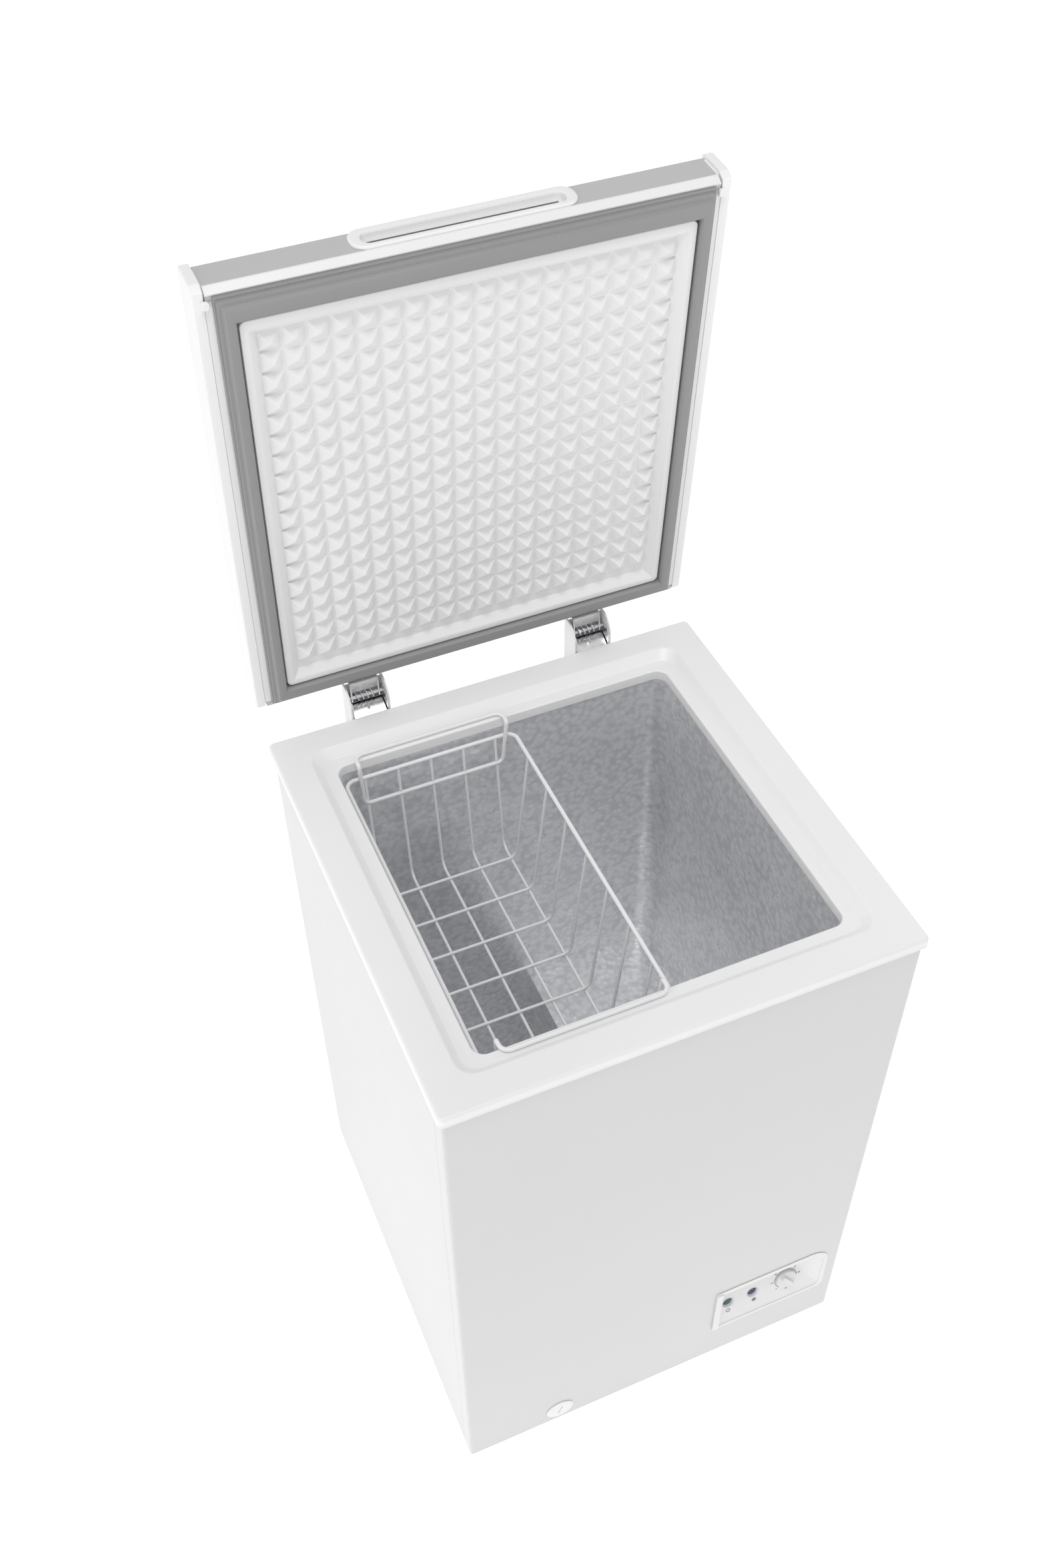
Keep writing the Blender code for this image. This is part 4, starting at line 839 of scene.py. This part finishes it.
def handle():
    """Moulded grip in the lid's front: raised surround, pocket, and a dark strip of painted shade
    standing for the shadowed depth of the slot.
    """
    face = LID_FRONT + 0.0003
    front = LID_FRONT + 0.0035
    low = 0.0225        # lower edge of the opening
    slant = 0.80        # lean of the pocket's floor

    def outline(inset, s, n0, n1, half, r):
        return [(x, LID_Y - s, LID_Z + n)
                for x, n in rect(-half + inset, half - inset, n0 + inset, n1 - inset, r, 10)]

    def surround(inset, s):
        return outline(inset, s, 0.0170, 0.0490, 0.1115, 0.0140 - inset)

    def opening(inset, s):
        return outline(inset, s, low, 0.0400, 0.1005, 0.0080 - inset)

    loops = [opening(-0.0018, 0.4845), opening(-0.0018, face), surround(0.0, face)]
    soft = 0.0022
    for k in range(6):
        a = math.radians(90.0 * k / 5)
        loops.append(surround(soft * (1.0 - math.cos(a)), front - soft + soft * math.sin(a)))
    lip = 0.0012
    for k in range(5):
        a = math.radians(90.0 * k / 4)
        loops.append(opening(-lip + lip * math.sin(a), front - lip * (1.0 - math.cos(a))))
    for inset, base in ((0.0006, 0.4895), (0.0012, 0.4875), (0.0030, 0.4865)):
        loops.append([(x, y - slant * (z - LID_Z - low), z)
                      for x, y, z in opening(inset, base)])
    put(smooth(loft("handle_moulding", loops, lid=True), 35.0), "lid", PLASTIC, ["lid_handle"])
    # dark strip along the low side of the pocket: painted shade where the deep undercut slot lies
    # in shadow
    near = (0.0240, 0.4867)
    far = (0.0352, 0.4867 + slant * (0.0352 - low) + 0.0002)
    shade_band = [(LID_Y - near[1] - 0.0014, LID_Z + near[0]), (LID_Y - far[1], LID_Z + far[0]),
            (LID_Y - far[1] + 0.0010, LID_Z + far[0]), (LID_Y - near[1], LID_Z + near[0])]
    put(smooth(prism("handle_slot_painted_shade", shade_band, "X", -0.0950, 0.0950, lid=True), 30.0), "lid", PAINTED_SLOT_SHADE)


# ---- studio ----------------------------------------------------------------------------
def area(name, spot, aim, size, power):
    """Soft lamp at a spot, turned towards its aim."""
    light = bpy.data.lights.new(name, "AREA")
    light.shape = "RECTANGLE"
    light.size = size[0]
    light.size_y = size[1]
    light.energy = power
    obj = bpy.data.objects.new(name, light)
    bpy.context.scene.collection.objects.link(obj)
    obj.location = spot
    obj.rotation_euler = (Vector(aim) - Vector(spot)).to_track_quat("-Z", "Y").to_euler()


def studio():
    """Pale floor, a sky that fades upwards and to the right, and four soft lamps."""
    mesh = bpy.data.meshes.new("studio_floor")
    reach = 12.0
    mesh.from_pydata([(-reach, -reach, 0), (reach, -reach, 0), (reach, reach, 0),
                      (-reach, reach, 0)], [], [(0, 1, 2, 3)])
    floor = bpy.data.objects.new("studio_floor", mesh)
    bpy.context.scene.collection.objects.link(floor)
    mat, tree, bsdf = shader("floor_paper", 0.9)
    tint(tree, bsdf, noise(tree, 1.2, 2.0), (0.93, 0.93, 0.93), (0.95, 0.95, 0.95))
    bsdf.inputs["Emission Color"].default_value = (1.0, 1.0, 1.0, 1.0)
    bsdf.inputs["Emission Strength"].default_value = 0.50
    floor.data.materials.append(mat)
    world = bpy.data.worlds.new("studio")
    world.use_nodes = True
    tree = world.node_tree
    tree.nodes["Background"].inputs["Color"].default_value = (1.0, 1.0, 1.0, 1.0)
    up = tree.nodes.new("ShaderNodeSeparateXYZ")
    tree.links.new(tree.nodes.new("ShaderNodeTexCoord").outputs["Generated"], up.inputs["Vector"])
    level = 0.80
    for axis, slope in (("Z", -0.28), ("X", -0.28)):
        term = tree.nodes.new("ShaderNodeMath")
        term.operation = "MULTIPLY_ADD"
        tree.links.new(up.outputs[axis], term.inputs[0])
        term.inputs[1].default_value = slope
        if isinstance(level, float):
            term.inputs[2].default_value = level
        else:
            tree.links.new(level, term.inputs[2])
        level = term.outputs["Value"]
    tree.links.new(level, tree.nodes["Background"].inputs["Strength"])
    bpy.context.scene.world = world
    bpy.context.scene.view_settings.view_transform = "Standard"
    area("key_left", (-2.7, -0.5, 1.0), (0.0, 0.0, 0.5), (1.6, 1.4), 0.5)
    area("lid_light", (-2.1, -0.75, 1.35), (0.0, 0.24, 1.05), (0.6, 0.6), 2.4)
    area("rim_light", (0.95, 0.05, 1.40), (0.1, 0.1, 0.8), (0.6, 0.6), 1.7)
    area("tub_light", (-0.2, -0.9, 4.2), (0.05, 0.0, 0.7), (1.0, 1.0), 34.0)


def camera():
    """Eye point and direction that fit the perspective of the cabinet's edges."""
    azimuth = -0.3933892
    height = 0.8110853
    roll = -0.0162303
    reach = 2.3097936
    aim = Vector((0.1238059, 0.4528434 + BODY_Y, 0.3904954 + FOOT_H))
    back = Vector((math.sin(azimuth) * math.cos(height), -math.cos(azimuth) * math.cos(height),
                   math.sin(height)))
    right = (-back).cross(Vector((0.0, 0.0, 1.0))).normalized()
    up = right.cross(-back)
    across = right * math.cos(roll) + up * math.sin(roll)
    above = up * math.cos(roll) - right * math.sin(roll)
    data = bpy.data.cameras.new("camera")
    data.sensor_width = 36.0
    data.lens = 2393.99 * 36.0 / 2351.0     # focal length over the longer side of the frame
    data.clip_end = 60.0
    obj = bpy.data.objects.new("camera", data)
    basis = Matrix((across, above, back)).transposed().to_4x4()
    obj.matrix_world = Matrix.Translation(aim + back * reach) @ basis
    bpy.context.scene.collection.objects.link(obj)
    bpy.context.scene.camera = obj


top_frame()
inner_liner()
fine_bezel()
light_cups()
panel_marks()
cad_materials()
hinge_sheets()
basket()
lid_panel()
lid_gasket()
lid_shell()
end_cap("end_cap_left", -1, "lid_end_cap_left")
end_cap("end_cap_right", 1, "lid_end_cap_right")
handle()
studio()
camera()
